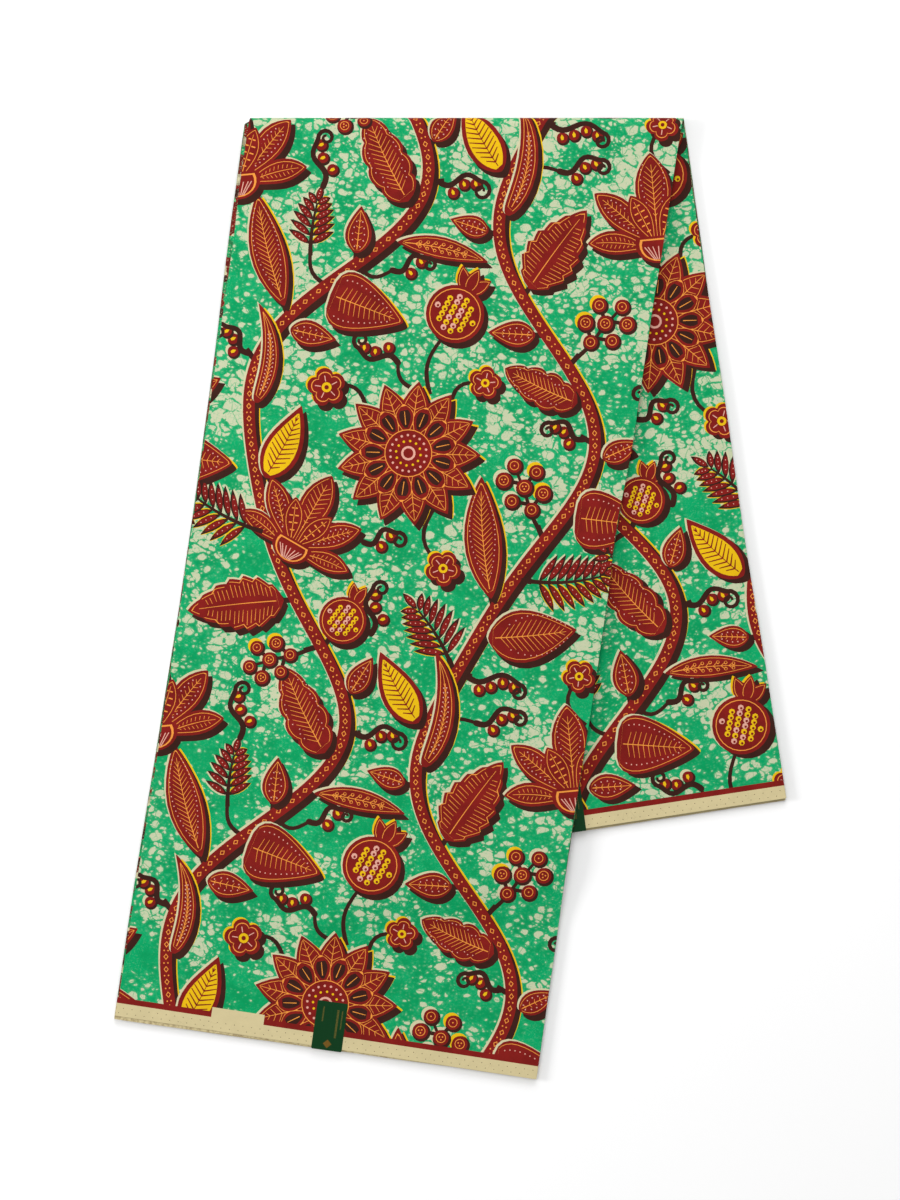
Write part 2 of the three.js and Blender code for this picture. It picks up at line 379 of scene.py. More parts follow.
@dataclass(frozen=True)
class Berries:
    """A cluster of round berries on one stalk."""

    places: tuple[Point, ...] = ((0, 16), (-12, 24), (11, 27), (-1, 33), (-13, 40), (11, 43), (0, 50))
    radius: float = 6.0

    def draw(self, pen: Pen) -> None:
        """Draws the stalks and then the berries."""
        pen.stroke([(0, -2), (1.5, 12), (0, 28), (0, 46)], STALK, Ink.BROWN, 0.6, Stage.SHADOW)
        for x, y in self.places:
            if x:
                pen.stroke([(0, y - 7), (x, y)], 2.8, Ink.BROWN, stage=Stage.SHADOW)
        for n, (x, y) in enumerate(self.places):
            radius = self.radius * (1.0 if n % 2 else 0.9)
            pen.bead(x, y, radius + 0.8, Ink.YELLOW if n % 3 == 1 else Ink.CREAM)
            pen.fill(ring(x, y, radius * 0.62, 12), Ink.GOLD)
            pen.fill(ring(x, y, radius * 0.53, 12), Ink.RED)
            seeds = 3 if n % 2 else 1
            for k in range(seeds):
                angle = k * math.tau / seeds + n
                off = radius * 0.22 * (seeds > 1)
                pen.dot(x + off * math.cos(angle), y + off * math.sin(angle), 0.62, Ink.GOLD, 5)


@dataclass(frozen=True)
class Frond:
    """A stalk with pairs of small dotted leaflets."""

    length: float = 64.0
    pairs: int = 7
    bend: float = 24.0
    leaflet: float = 19.0
    leaflet_width: float = 5.6

    def draw(self, pen: Pen) -> None:
        """Draws the spine and its leaflets."""
        spine = Leaf(self.length, 1.0, bend=self.bend)
        pen.stroke([spine.on(n / 8 - 0.06, 0) for n in range(9)], STALK, Ink.BROWN, 0.4)
        for n in range(self.pairs):
            t = 0.16 + 0.76 * n / (self.pairs - 1)
            reach = self.leaflet * (0.72 + 0.6 * math.sin(math.pi * (0.25 + 0.7 * t)) - 0.25 * t)
            for side in (-1, 1):
                spot = pen.at(*spine.on(t, side * 0.6), self.bend * t - side * (54 - 14 * t))
                self.leaflet_at(spot, reach, side * -14, Ink.YELLOW if side > 0 else Ink.CREAM)
        self.leaflet_at(pen.at(*spine.on(0.97, 0), self.bend), self.leaflet * 0.8, 0, Ink.CREAM)

    def leaflet_at(self, pen: Pen, reach: float, bend: float, halo: Ink) -> None:
        """Draws a brown leaflet with a red heart and three dots."""
        small = Leaf(reach, self.leaflet_width, Shape.LANCE, bend=bend, steps=7)
        pen.fill([(x * 1.25 - 0.4, y) for x, y in small.edge()], halo, Stage.HALO)
        pen.fill(small.edge(), Ink.BROWN, Stage.SHADOW)
        pen.fill([(x - 0.4, y) for x, y in small.edge(0.9, 0.14, 0.82)], Ink.RED)
        for n in range(3):
            pen.dot(*small.on(0.32 + 0.18 * n, -0.4), 0.45, Ink.PALE, 5)


@dataclass(frozen=True)
class Rosette:
    """A round flower in two tiers of petals about a seeded disc."""

    radius: float = 52.0
    petals: int = 13

    def draw(self, pen: Pen) -> None:
        """Draws the outer petals, the inner ones and the disc."""
        r = self.radius
        outer = Leaf(r * 0.66, r * 0.4, Shape.OVATE, steps=9, glow=True)
        inner = Leaf(r * 0.46, r * 0.26, Shape.PETAL, steps=9)
        step = 360 / self.petals
        pen.fill(ring(0, 0, r * 0.5, 26), Ink.RED)
        for n in range(self.petals):
            outer.draw(pen.at(0, 0, n * step).at(0, r * 0.34))
        for n in range(self.petals):
            spot = pen.at(0, 0, (n + 0.5) * step).at(0, r * 0.22)
            spot.fill(inner.edge(), Ink.GOLD)
            spot.fill(inner.edge(FINE_LINE, 0.02, 0.95), Ink.RED)
            spot.fill(inner.edge(2.6, 0.28, 0.82), Ink.BROWN)
            spot.stroke([inner.on(0.38 + 0.1 * k, 0) for k in range(5)], MIDRIB, Ink.GOLD, 0.6)
        pen.fill(ring(0, 0, r * 0.33, 26), Ink.GOLD)
        pen.fill(ring(0, 0, r * 0.318, 26), Ink.RED)
        for share, count, ink in ((0.25, 18, Ink.PALE), (0.17, 12, Ink.YELLOW)):
            for x, y in ring(0, 0, r * share, count):
                pen.dot(x, y, 0.95, ink)
        pen.fill(ring(0, 0, r * 0.1, 14), Ink.PALE)
        pen.fill(ring(0, 0, r * 0.07, 12), Ink.RED)


@dataclass(frozen=True)
class Lotus:
    """A flower from the side: a fan of pointed petals over a ribbed cup."""

    size: float = 72.0

    def draw(self, pen: Pen) -> None:
        """Draws the petals from the back to the front, and then the cup."""
        s = self.size
        for turn, reach, width, bend, veins in (
            (66, 0.72, 0.24, 26, Veins.COMB),
            (38, 0.86, 0.29, 10, Veins.DOTTED),
            (0, 0.98, 0.36, 0, Veins.HERRINGBONE),
            (20, 0.62, 0.24, 4, Veins.BARS),
        ):
            for side in (1, -1) if turn else (1,):
                petal = Leaf(s * reach, s * width, Shape.PETAL, veins, side * bend)
                petal.draw(pen.at(0, s * 0.06, side * turn))
        angles = [math.pi * (-0.62 + 1.24 * n / 14) for n in range(15)]
        cup = [(s * 0.23 * math.sin(a), s * (0.14 - 0.2 * math.cos(a))) for a in angles]
        pen.body(cup)
        pen.fill([(x * 0.82, y * 0.82 + s * 0.012) for x, y in cup], Ink.GOLD)
        pen.fill([(x * 0.72, y * 0.72 + s * 0.018) for x, y in cup], Ink.RED)
        for n in range(7):
            a = (n - 3) * 0.3
            rib = [(s * 0.05 * a, -s * 0.02), (s * 0.15 * math.sin(a * 1.3), s * 0.11)]
            pen.stroke(rib, MIDRIB, Ink.PALE)


@dataclass(frozen=True)
class Pod:
    """A round seed pod with a crown of three points."""

    radius: float = 21.0

    def draw(self, pen: Pen) -> None:
        """Draws the crown, the pod and its rows of seeds."""
        r = self.radius
        crown = Leaf(r, r * 0.5, Shape.LANCE, Veins.NONE, halo=Ink.YELLOW, steps=8)
        for turn in (-34, 34, 0):
            crown.draw(pen.at(0, 1.75 * r, turn))
        belly = ring(0, r, r, 26)
        pen.body(belly)
        for share, ink in ((0.88, Ink.GOLD), (0.85, Ink.RED)):
            pen.fill([(x * share, r + (y - r) * share) for x, y in belly], ink)
        for row, half in enumerate((1, 2, 2, 3, 2, 2, 1)):
            y = r * (0.42 + 0.195 * row)
            for n in range(2 * half):
                x = (n - half + 0.5) * r * 0.27
                pen.fill(ring(x, y, r * 0.105, 7), Ink.YELLOW if (row + n) % 3 else Ink.PALE)
                pen.fill(ring(x + r * 0.02, y - r * 0.02, r * 0.05, 5), Ink.RED)


@dataclass(frozen=True)
class Blossom:
    """A small open flower with round petals."""

    radius: float = 13.0
    petals: int = 5

    def draw(self, pen: Pen) -> None:
        """Draws the petals as one outline, and its eye."""
        count = self.petals * 8
        outline = []
        for n in range(count):
            angle = math.tau * n / count
            reach = self.radius * (0.74 + 0.26 * abs(math.sin(self.petals * angle / 2)) ** 0.7)
            outline.append((reach * math.cos(angle), reach * math.sin(angle)))
        pen.body(outline, Ink.YELLOW)
        pen.fill([(x * 0.8, y * 0.8) for x, y in outline], Ink.GOLD)
        pen.fill([(x * 0.75, y * 0.75) for x, y in outline], Ink.RED)
        for n in range(self.petals):
            angle = math.tau * (n + 0.5) / self.petals
            x, y = self.radius * math.cos(angle), self.radius * math.sin(angle)
            pen.stroke([(0.3 * x, 0.3 * y), (0.6 * x, 0.6 * y)], MIDRIB, Ink.PALE)
        pen.fill(ring(0, 0, self.radius * 0.26, 12), Ink.YELLOW)
        pen.fill(ring(0, 0, self.radius * 0.12, 8), Ink.RED)


@dataclass(frozen=True)
class Tendril:
    """A waving shoot that ends in a coil, with round seeds along it."""

    length: float = 40.0
    coil: float = 7.0
    turns: float = 1.3
    seeds: int = 0
    width: float = 4.5
    sway: float = 3.4

    def on(self, share: float) -> Point:
        """A point a share of the way up the shoot, before its coil."""
        return self.sway * math.sin(2.2 * math.pi * share), self.length * share

    def draw(self, pen: Pen) -> None:
        """Draws the shoot and its seeds."""
        path = [self.on(n / 12) for n in range(12)]
        x, y = self.on(1)
        for n in range(17):
            angle = math.pi - math.tau * self.turns * n / 16
            radius = self.coil * (1 - 0.78 * n / 16)
            path.append((x + self.coil + radius * math.cos(angle), y + radius * math.sin(angle)))
        for n in range(self.seeds):
            self.seed(pen.at(*self.on((n + 1) / (self.seeds + 0.6)), -76))
        pen.dot(0, 0, self.width / 2, Ink.BROWN, 10)
        pen.coil(path, self.width, Ink.BROWN, 0.4, Stage.BODY)

    def seed(self, pen: Pen) -> None:
        """Draws a seed with a yellow drop in it."""
        pen.bead(0, 5.6, 4.7)
        pen.fill([(0, 3.2), (1.2, 5.2), (0.8, 7.2), (-0.8, 7.2), (-1.2, 5.2)], Ink.YELLOW)


@dataclass(frozen=True)
class Vine:
    """A running stem that repeats with the print. Its middle line is a sum of two waves."""

    middle: float
    sway: float
    phase: float
    ripple: float
    ripple_phase: float
    width: float = 8.6
    steps: int = 80
    beads: int = 90

    def x(self, y: float) -> float:
        """Where its middle line lies across the repeat, at a height of it."""
        wave = self.sway * math.sin(math.tau * (y - self.phase) / WaxPrint.along)
        ripple = self.ripple * math.sin(2 * math.tau * (y - self.ripple_phase) / WaxPrint.along)
        return self.middle + wave + ripple

    def heading(self, y: float) -> float:
        """How many degrees it leans to the left, at a height of the repeat."""
        return math.degrees(math.atan2(self.x(y - 1) - self.x(y + 1), 2))

    def draw(self, pen: Pen) -> None:
        """Draws the stem, a little past the repeat at both ends, and the chain along it."""
        heights = [WaxPrint.along * n / self.steps for n in range(-4, self.steps + 5)]
        pen.body(ribbon([(self.x(y), y) for y in heights], self.width), glow=True)
        for n in range(self.beads):
            y = WaxPrint.along * (n + 0.5) / self.beads
            bead = pen.at(self.x(y), y, self.heading(y))
            if n % 2:
                bead.fill([(0, 2.3), (1.8, 0), (0, -2.3), (-1.8, 0)], Ink.GOLD)
                bead.fill([(0, 1.5), (1.15, 0), (0, -1.5), (-1.15, 0)], Ink.RED)
            else:
                for side in (-1.4, 1.4):
                    bead.dot(side, 0, 0.6, Ink.GOLD)


@dataclass(frozen=True)
class Sprig:
    """A motif that grows from a vine: how far up it, to which side, and how far it leans out."""

    up: float
    side: int
    motif: Motif
    lean: float
    size: float = 1.0


@dataclass(frozen=True)
class Bloom:
    """A motif away from the vines, which may have a thin stalk that bows from a root to it."""

    x: float
    y: float
    motif: Motif
    turn: float
    root: Point | None = None
    bow: float = 0.2

    def draw(self, patches: list[Patch]) -> None:
        """Draws the stalk, under the red of the vines and under every motif, and then the motif."""
        if self.root:
            (x, y), dx, dy = self.root, self.x - self.root[0], self.y - self.root[1]
            path = []
            for n in range(9):
                off = self.bow * math.sin(math.pi * n / 8)
                path.append((x + dx * n / 8 - dy * off, y + dy * n / 8 + dx * off))
            Pen(patches).stroke(path, STALK, Ink.BROWN, 0.75, Stage.SHADOW)
        self.motif.draw(Pen(patches, 2, self.x, self.y, self.turn))


LONG = Leaf(88, 27, Shape.LANCE, Veins.HERRINGBONE, 14, glow=True)
SLIM = Leaf(84, 20, Shape.LANCE, Veins.SCROLLS, -18)
BROAD = Leaf(64, 38, Shape.OVATE, Veins.HERRINGBONE, 8)
TOOTH = Leaf(70, 38, Shape.TOOTHED, Veins.COMB, -6)
LOBED = Leaf(68, 33, Shape.LOBED, Veins.HERRINGBONE, 12)
HEART = Leaf(56, 44, Shape.HEART, Veins.DOTTED, glow=True)
SICKLE = Leaf(88, 20, Shape.SABRE, Veins.DOTTED, 62, glow=True)
AMBER = Leaf(58, 27, Shape.OVATE, Veins.HERRINGBONE, 16, field=Ink.YELLOW, line=Ink.RED, weight=2.4)
BUD = Leaf(34, 19, Shape.OVATE, Veins.DOTTED)

LEFT_VINE = Vine(middle=68, sway=50, phase=35, ripple=9, ripple_phase=60)
RIGHT_VINE = Vine(middle=224, sway=44, phase=232, ripple=-8, ripple_phase=20)

LEFT_SPRIGS = (
    Sprig(4, 1, BUD, 62), Sprig(12, -1, LONG, 66, 0.95), Sprig(34, 1, HEART, 58), Sprig(56, -1, BUD, 48),
    Sprig(76, 1, SLIM, 44, 0.8), Sprig(100, -1, LOBED, 66), Sprig(122, 1, Tendril(30, seeds=3), 74),
    Sprig(144, 1, BUD, 44, 0.9), Sprig(182, -1, Berries(), 78, 0.9), Sprig(180, 1, Pod(17), 64),
    Sprig(212, -1, TOOTH, 66), Sprig(234, 1, Lotus(64), 52), Sprig(256, -1, Frond(60, 8), 56),
    Sprig(288, 1, AMBER, 46), Sprig(340, 1, SICKLE, 34, 0.85), Sprig(376, -1, Tendril(26, 6, seeds=3), 58),
)
RIGHT_SPRIGS = (
    Sprig(6, 1, Berries(), 74), Sprig(26, -1, BUD, 52), Sprig(50, 1, TOOTH, 64), Sprig(92, -1, BUD, 66, 0.85),
    Sprig(100, 1, SICKLE, 36), Sprig(132, -1, AMBER, 58), Sprig(176, -1, Frond(48, 7, -20), 52),
    Sprig(176, 1, Tendril(38, 6, seeds=4), 66), Sprig(204, 1, BROAD, 58), Sprig(226, -1, LONG, 44),
    Sprig(250, 1, Frond(58, 8), 62), Sprig(280, -1, Berries(), 60), Sprig(300, 1, HEART, 60),
    Sprig(340, 1, BUD, 50, 0.9), Sprig(354, -1, Tendril(26, 6, seeds=3), 62), Sprig(380, -1, LOBED, 50, 0.85),
)
BLOOMS = (
    Bloom(141, 328, Rosette(), 0), Bloom(298, 94, Lotus(), 14), Bloom(152, 12, Pod(), -20, (150, -28), 0.15),
    Bloom(76, 366, Blossom(14), 0, (108, 352), -0.3), Bloom(178, 250, Blossom(13), 30, (166, 294), -0.25),
    Bloom(188, 386, Blossom(12), 50, (166, 362), 0.3), Bloom(286, 188, Blossom(12), 20, (296, 154), 0.3),
    Bloom(52, 108, Tendril(34, 6, seeds=3), 18, (51, 98), 0),
    Bloom(124, 391, Tendril(30, 6, seeds=3), 82, (138, 374)),
    Bloom(119, 260, Tendril(24, 6, seeds=2), -60, (104, 256)),
    Bloom(134, 196, Tendril(32, 6, seeds=3), 10, (122, 184)),
    Bloom(110, 56, Tendril(26, 5, seeds=2), -58, (84, 58), -0.3),
    Bloom(50, 60, Frond(38, 6, -16, 15), 8, (66, 38)),
    Bloom(218, 144, Tendril(30, 6, seeds=3), -62, (188, 132), 0.2),
)


@dataclass(frozen=True)
class WaxPrint:
    """The flower print: two swaying vines with what grows from them, repeated over the cloth."""

    across: float = 305.0
    along: float = 400.0

    def repeat(self) -> list[Patch]:
        """The patches of one repeat, in painter's order."""
        patches: list[Patch] = []
        for vine in (LEFT_VINE, RIGHT_VINE):
            vine.draw(Pen(patches))
        for vine, sprigs in ((LEFT_VINE, LEFT_SPRIGS), (RIGHT_VINE, RIGHT_SPRIGS)):
            for sprig in sprigs:
                turn = vine.heading(sprig.up) - sprig.side * sprig.lean
                node = Pen(patches, 0, vine.x(sprig.up), sprig.up, turn)
                foot = vine.width / 2 + 4
                node.stroke([(0, 0), (0, foot + 4)], 4.0, Ink.BROWN, stage=Stage.SHADOW)
                stalk = node.at(0, foot, 0, sprig.size, sprig.side)
                stalk.rank = 1
                sprig.motif.draw(stalk)
        for bloom in BLOOMS:
            bloom.draw(patches)
        return sorted(patches, key=lambda patch: patch.order)

    def cover(self, region: Sequence[Point], shift: Point,
              hidden: Callable[[float, float], bool]) -> list[Patch]:
        """The print over a region of cloth.

        Args:
            region: The outline of the region.
            shift: Where a corner of the repeat lies in the region's plane.
            hidden: Tells whether a point can never be seen, so that nothing need be drawn there.

        Returns:
            The patches that touch the region, moved into place, in painter's order.
        """
        west, south, east, north = Patch(tuple(region), Ink.GROUND, (0, 0, 0)).box()
        placed = []
        for patch in self.repeat():
            x0, y0, x1, y1 = patch.box()
            columns = range(math.ceil((west - shift[0] - x1) / self.across),
                            math.floor((east - shift[0] - x0) / self.across) + 1)
            rows = range(math.ceil((south - shift[1] - y1) / self.along),
                         math.floor((north - shift[1] - y0) / self.along) + 1)
            for column in columns:
                for row in rows:
                    copy = patch.moved(shift[0] + column * self.across, shift[1] + row * self.along)
                    if not all(hidden(x, y) for x, y in copy.outline):
                        placed.append(copy)
        return sorted(placed, key=lambda patch: patch.order)


# ---------------------------------------------------------------- the strip of cloth


class Arm(Enum):
    """The two arms of the strip, on either side of the fold. The value is the sign of along."""

    FRONT = 1
    BACK = -1


@dataclass(frozen=True)
class Swell:
    """A long, low rise in the pressed cloth, or a trough, fading over its reach."""

    across: float
    along: float
    height: float
    reach_across: float
    reach_along: float

    def at(self, across: float, along: float) -> float:
        """Its height at a place of the strip."""
        off = math.hypot((across - self.across) / self.reach_across, (along - self.along) / self.reach_along)
        return self.height * (1 - smooth(off))


@dataclass(frozen=True)
class Crease:
    """A soft ridge, or a trough, along a line from one place of the strip to another."""

    start: Point
    end: Point
    height: float
    width: float

    def at(self, across: float, along: float) -> float:
        """Its height at a place of the strip."""
        (x0, y0), (x1, y1) = self.start, self.end
        dx, dy = x1 - x0, y1 - y0
        share = ((across - x0) * dx + (along - y0) * dy) / (dx * dx + dy * dy)
        if not 0 < share < 1:
            return 0.0
        off = math.hypot(across - x0 - share * dx, along - y0 - share * dy)
        return self.height * smooth(2.5 * min(share, 1 - share)) * (1 - smooth(off / self.width))


SWELLS = (
    Swell(118, 62, 0.9, 34, 60), Swell(-96, 250, 0.7, 60, 120), Swell(60, 330, 0.6, 90, 70),
    Swell(128, 455, 0.8, 30, 80), Swell(-40, 560, 0.6, 110, 60),
)
FRONT_CREASES = (
    Crease((-150, 34), (120, 12), 0.35, 12), Crease((-152, 118), (-60, 196), -0.4, 14),
    Crease((150, 214), (40, 300), 0.4, 16), Crease((-154, 408), (-30, 384), -0.4, 14),
    Crease((20, 470), (154, 540), 0.35, 15), Crease((-150, 600), (-20, 676), 0.5, 16),
    Crease((60, 690), (88, 560), 0.4, 13), Crease((-6, 40), (14, 330), -0.22, 10),
)
BACK_CREASES = (
    Crease((150, -110), (60, -240), 0.35, 14), Crease((152, -330), (20, -300), -0.4, 13),
    Crease((40, -530), (96, -400), 0.4, 14), Crease((152, -470), (110, -525), -0.3, 10),
)

EDGE_COLUMNS = ("along", "left", "right")
FRONT_EDGES = (
    (-30, 1.0, 1.4), (8, 1.2, 0.8), (70, 0.8, 0.9), (120, -0.6, 0.2), (215, -1.1, 0.6), (285, -1.4, -2.0),
    (330, -1.6, -0.6), (395, -1.8, -0.2), (500, -1.5, -1.1), (600, -0.4, 0.2), (680, 0.0, 0.7),
)
BACK_EDGES = (
    (-522, 0.4, 0.9), (-430, -0.3, 0.4), (-335, 0.2, -0.8), (-230, 0.0, 0.0), (-100, -0.4, -0.6),
    (0, 0.5, 1.0),
)


def from_table(rows: Sequence[tuple[float, ...]], along: float, column: str) -> float:
    """A column's value at a place along the strip, eased between the table's rows."""
    number = EDGE_COLUMNS.index(column)
    for low, high in zip(rows, rows[1:]):
        if along <= high[0]:
            return lerp(low[number], high[number], smooth((along - low[0]) / (high[0] - low[0])))
    return rows[-1][number]


@dataclass(frozen=True)
class LeafGroup:
    """Four hidden leaves: how far they stand out past the straight strip at three places, and at the hems."""

    left: tuple[float, float, float]
    right: tuple[float, float, float]
    front_hem: float
    back_hem: float

    def edge(self, side: int, share: float) -> float:
        """How far the group stands out at a share of the way from the crest to a hem."""
        crest, middle, hem = self.left if side < 0 else self.right
        if share < 0.5:
            return lerp(crest, middle, smooth(2 * share))
        return lerp(middle, hem, smooth(2 * share - 1))


LEAF_GROUPS = (
    LeafGroup((3.6, -1.2, 1.3), (-1.6, -2.4, -0.6), 1.9, -0.8),
    LeafGroup((2.2, -2.0, 0.4), (0.9, -1.3, 0.2), 0.6, 1.2),
    LeafGroup((2.9, -0.9, 1.0), (-0.8, -2.0, -1.4), 1.5, 0.3),
    LeafGroup((1.0, -1.6, -0.5), (0.2, -1.6, -0.4), -0.4, -1.0),
)


@dataclass(frozen=True)
class Strip:
    """The folded strip. Places on it are given across from its middle line to the right, seen from above at
    the front panel, along from the crest of the fold, positive down the front panel and negative down the
    back one, and in depth from the outermost leaf inwards.
    """

    cloth_width: float = 1200.0
    front_length: float = 679.0
    width: float = 305.0
    lean: float = math.radians(8.6)
    thickness: float = 5.0
    label_wall: float = 0.4
    seam_gap: float = 0.3
    crest_radius: float = 6.0
    crest_settles: float = 70.0
    step_width: float = 56.0
    step_margin: float = 12.0
    tucked_tail: float = 14.0
    soft_depth: float = 3.7
    fold_x: float = 0.0
    fold_y: float = 0.0

    @property
    def back_length(self) -> float:
        """From the crest of the fold to the back hem."""
        return self.cloth_width - self.front_length

    @property
    def quarter_fold(self) -> float:
        """From the crest of the fold to where the cloth is flat, over the outermost leaf."""
        return self.crest_radius * math.pi / 2

    @classmethod
    def in_frame(cls) -> "Strip":
        """The strip where the frame has it: its fold touches the front panel's far side."""
        flat = cls()
        low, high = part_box("label_front")
        label = flat.place(LABEL_FRONT.across, LABEL_FRONT.middle(flat), 0)
        _, panel_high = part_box("front_panel")
        fold_x = (low[0] + high[0]) / 2 / MM - label[0]
        return cls(fold_x=fold_x, fold_y=panel_high[1] / MM - flat.crest_radius)

    def lift(self, x: float, y: float, past_fold: float) -> float:
        """How high the front panel's underside lies.

        Args:
            x: A place of the plan, from the fold's middle to the right.
            y: The same place, from the fold's axis towards the crest.
            past_fold: How far past the round of the fold it is.

        Returns:
            The height over the surface.
        """
        down = (self.crest_radius - y) / math.cos(self.lean)
        across = (x - down * math.sin(self.lean)) * math.cos(self.lean)
        along = down + across * math.tan(self.lean)
        past_edge = max(abs(across) - self.width / 2 - self.step_margin, 0)
        past_hem = max(along - self.back_length - self.step_margin, 0)
        crest_lift = 2 * self.crest_radius - self.thickness
        overlap_lift = self.thickness + self.label_wall + 2 * self.seam_gap
        level = lerp(crest_lift, overlap_lift, smooth(past_fold / self.crest_settles))
        return level * (1 - smooth(math.hypot(past_edge, past_hem) / self.step_width))

    def place(self, across: float, along: float, depth: float) -> Place:
        """Room coordinates of a point of the strip, in millimetres."""
        past_crest = (along + across * math.tan(self.lean)) * math.cos(self.lean)
        x = across * math.cos(self.lean) - along * math.sin(self.lean)
        radius = self.crest_radius - depth
        if abs(past_crest) <= self.quarter_fold:
            turn = past_crest / self.crest_radius
            y, z = radius * math.cos(turn), self.crest_radius + radius * math.sin(turn)
            return x + self.fold_x, y + self.fold_y, z
        y = self.quarter_fold - abs(past_crest)
        past_fold = abs(past_crest) - self.quarter_fold
        flare = smooth(past_fold / self.step_width)
        if past_crest < 0:
            share = depth / self.thickness
            z = depth + share * flare * sum(crease.at(across, along) for crease in BACK_CREASES)
        else:
            # The upper leaves rise and sink with the swells and creases, and those below less and less.
            share = min(max((self.thickness - depth) / self.soft_depth, 0.0), 1.0)
            rise = sum(part.at(across, along) for part in SWELLS + FRONT_CREASES)
            z = self.lift(x, y, past_fold) + self.thickness - depth + share * flare * rise
        return x + self.fold_x, y + self.fold_y, z

    def under_front(self, across: float, along: float, margin: float) -> bool:
        """Whether a place of the back panel is covered by the front one, by at least a margin."""
        x = across * math.cos(self.lean) - along * math.sin(self.lean)
        y = self.quarter_fold - abs(along + across * math.tan(self.lean)) * math.cos(self.lean)
        down = (self.crest_radius - y) / math.cos(self.lean)
        over = (x + down * math.sin(self.lean)) * math.cos(self.lean)
        return over < self.width / 2 - margin


# ---------------------------------------------------------------- finishes


class Value:
    """A number that changes over a surface. Sums on it add Math nodes."""

    def __init__(self, shader: "Shader", socket: Any) -> None:
        """Wraps an output socket of a shader's node."""
        self.shader = shader
        self.socket = socket

    def _math(self, operation: str, *terms: Any) -> "Value":
        """A Math node on these terms."""
        node = self.shader.node("Math", {"operation": operation}, dict(enumerate(terms)))
        return Value(self.shader, node.outputs[0])

    def __add__(self, other: Any) -> "Value":
        """The sum."""
        return self._math("ADD", self, other)

    def __sub__(self, other: Any) -> "Value":
        """The difference."""
        return self._math("SUBTRACT", self, other)

    def __rsub__(self, other: Any) -> "Value":
        """The difference from another value."""
        return self._math("SUBTRACT", other, self)

    def __mul__(self, other: Any) -> "Value":
        """The product."""
        return self._math("MULTIPLY", self, other)

    def __gt__(self, other: Any) -> "Value":
        """1 where this is the greater, and 0 elsewhere."""
        return self._math("GREATER_THAN", self, other)

    __radd__ = __add__

    def sine(self) -> "Value":
        """The sine."""
        return self._math("SINE", self)

    def size(self) -> "Value":
        """The value without its sign."""
        return self._math("ABSOLUTE", self)

    def least(self, other: Any) -> "Value":
        """The lesser of two values."""
        return self._math("MINIMUM", self, other)

    def most(self, other: Any) -> "Value":
        """The greater of two values."""
        return self._math("MAXIMUM", self, other)

    def eased(self, low: float, high: float) -> "Value":
        """0 up to low, 1 from high, and eased between them."""
        settings = {"interpolation_type": "SMOOTHSTEP"}
        node = self.shader.node("MapRange", settings, {"Value": self, "From Min": low, "From Max": high})
        return Value(self.shader, node.outputs["Result"])


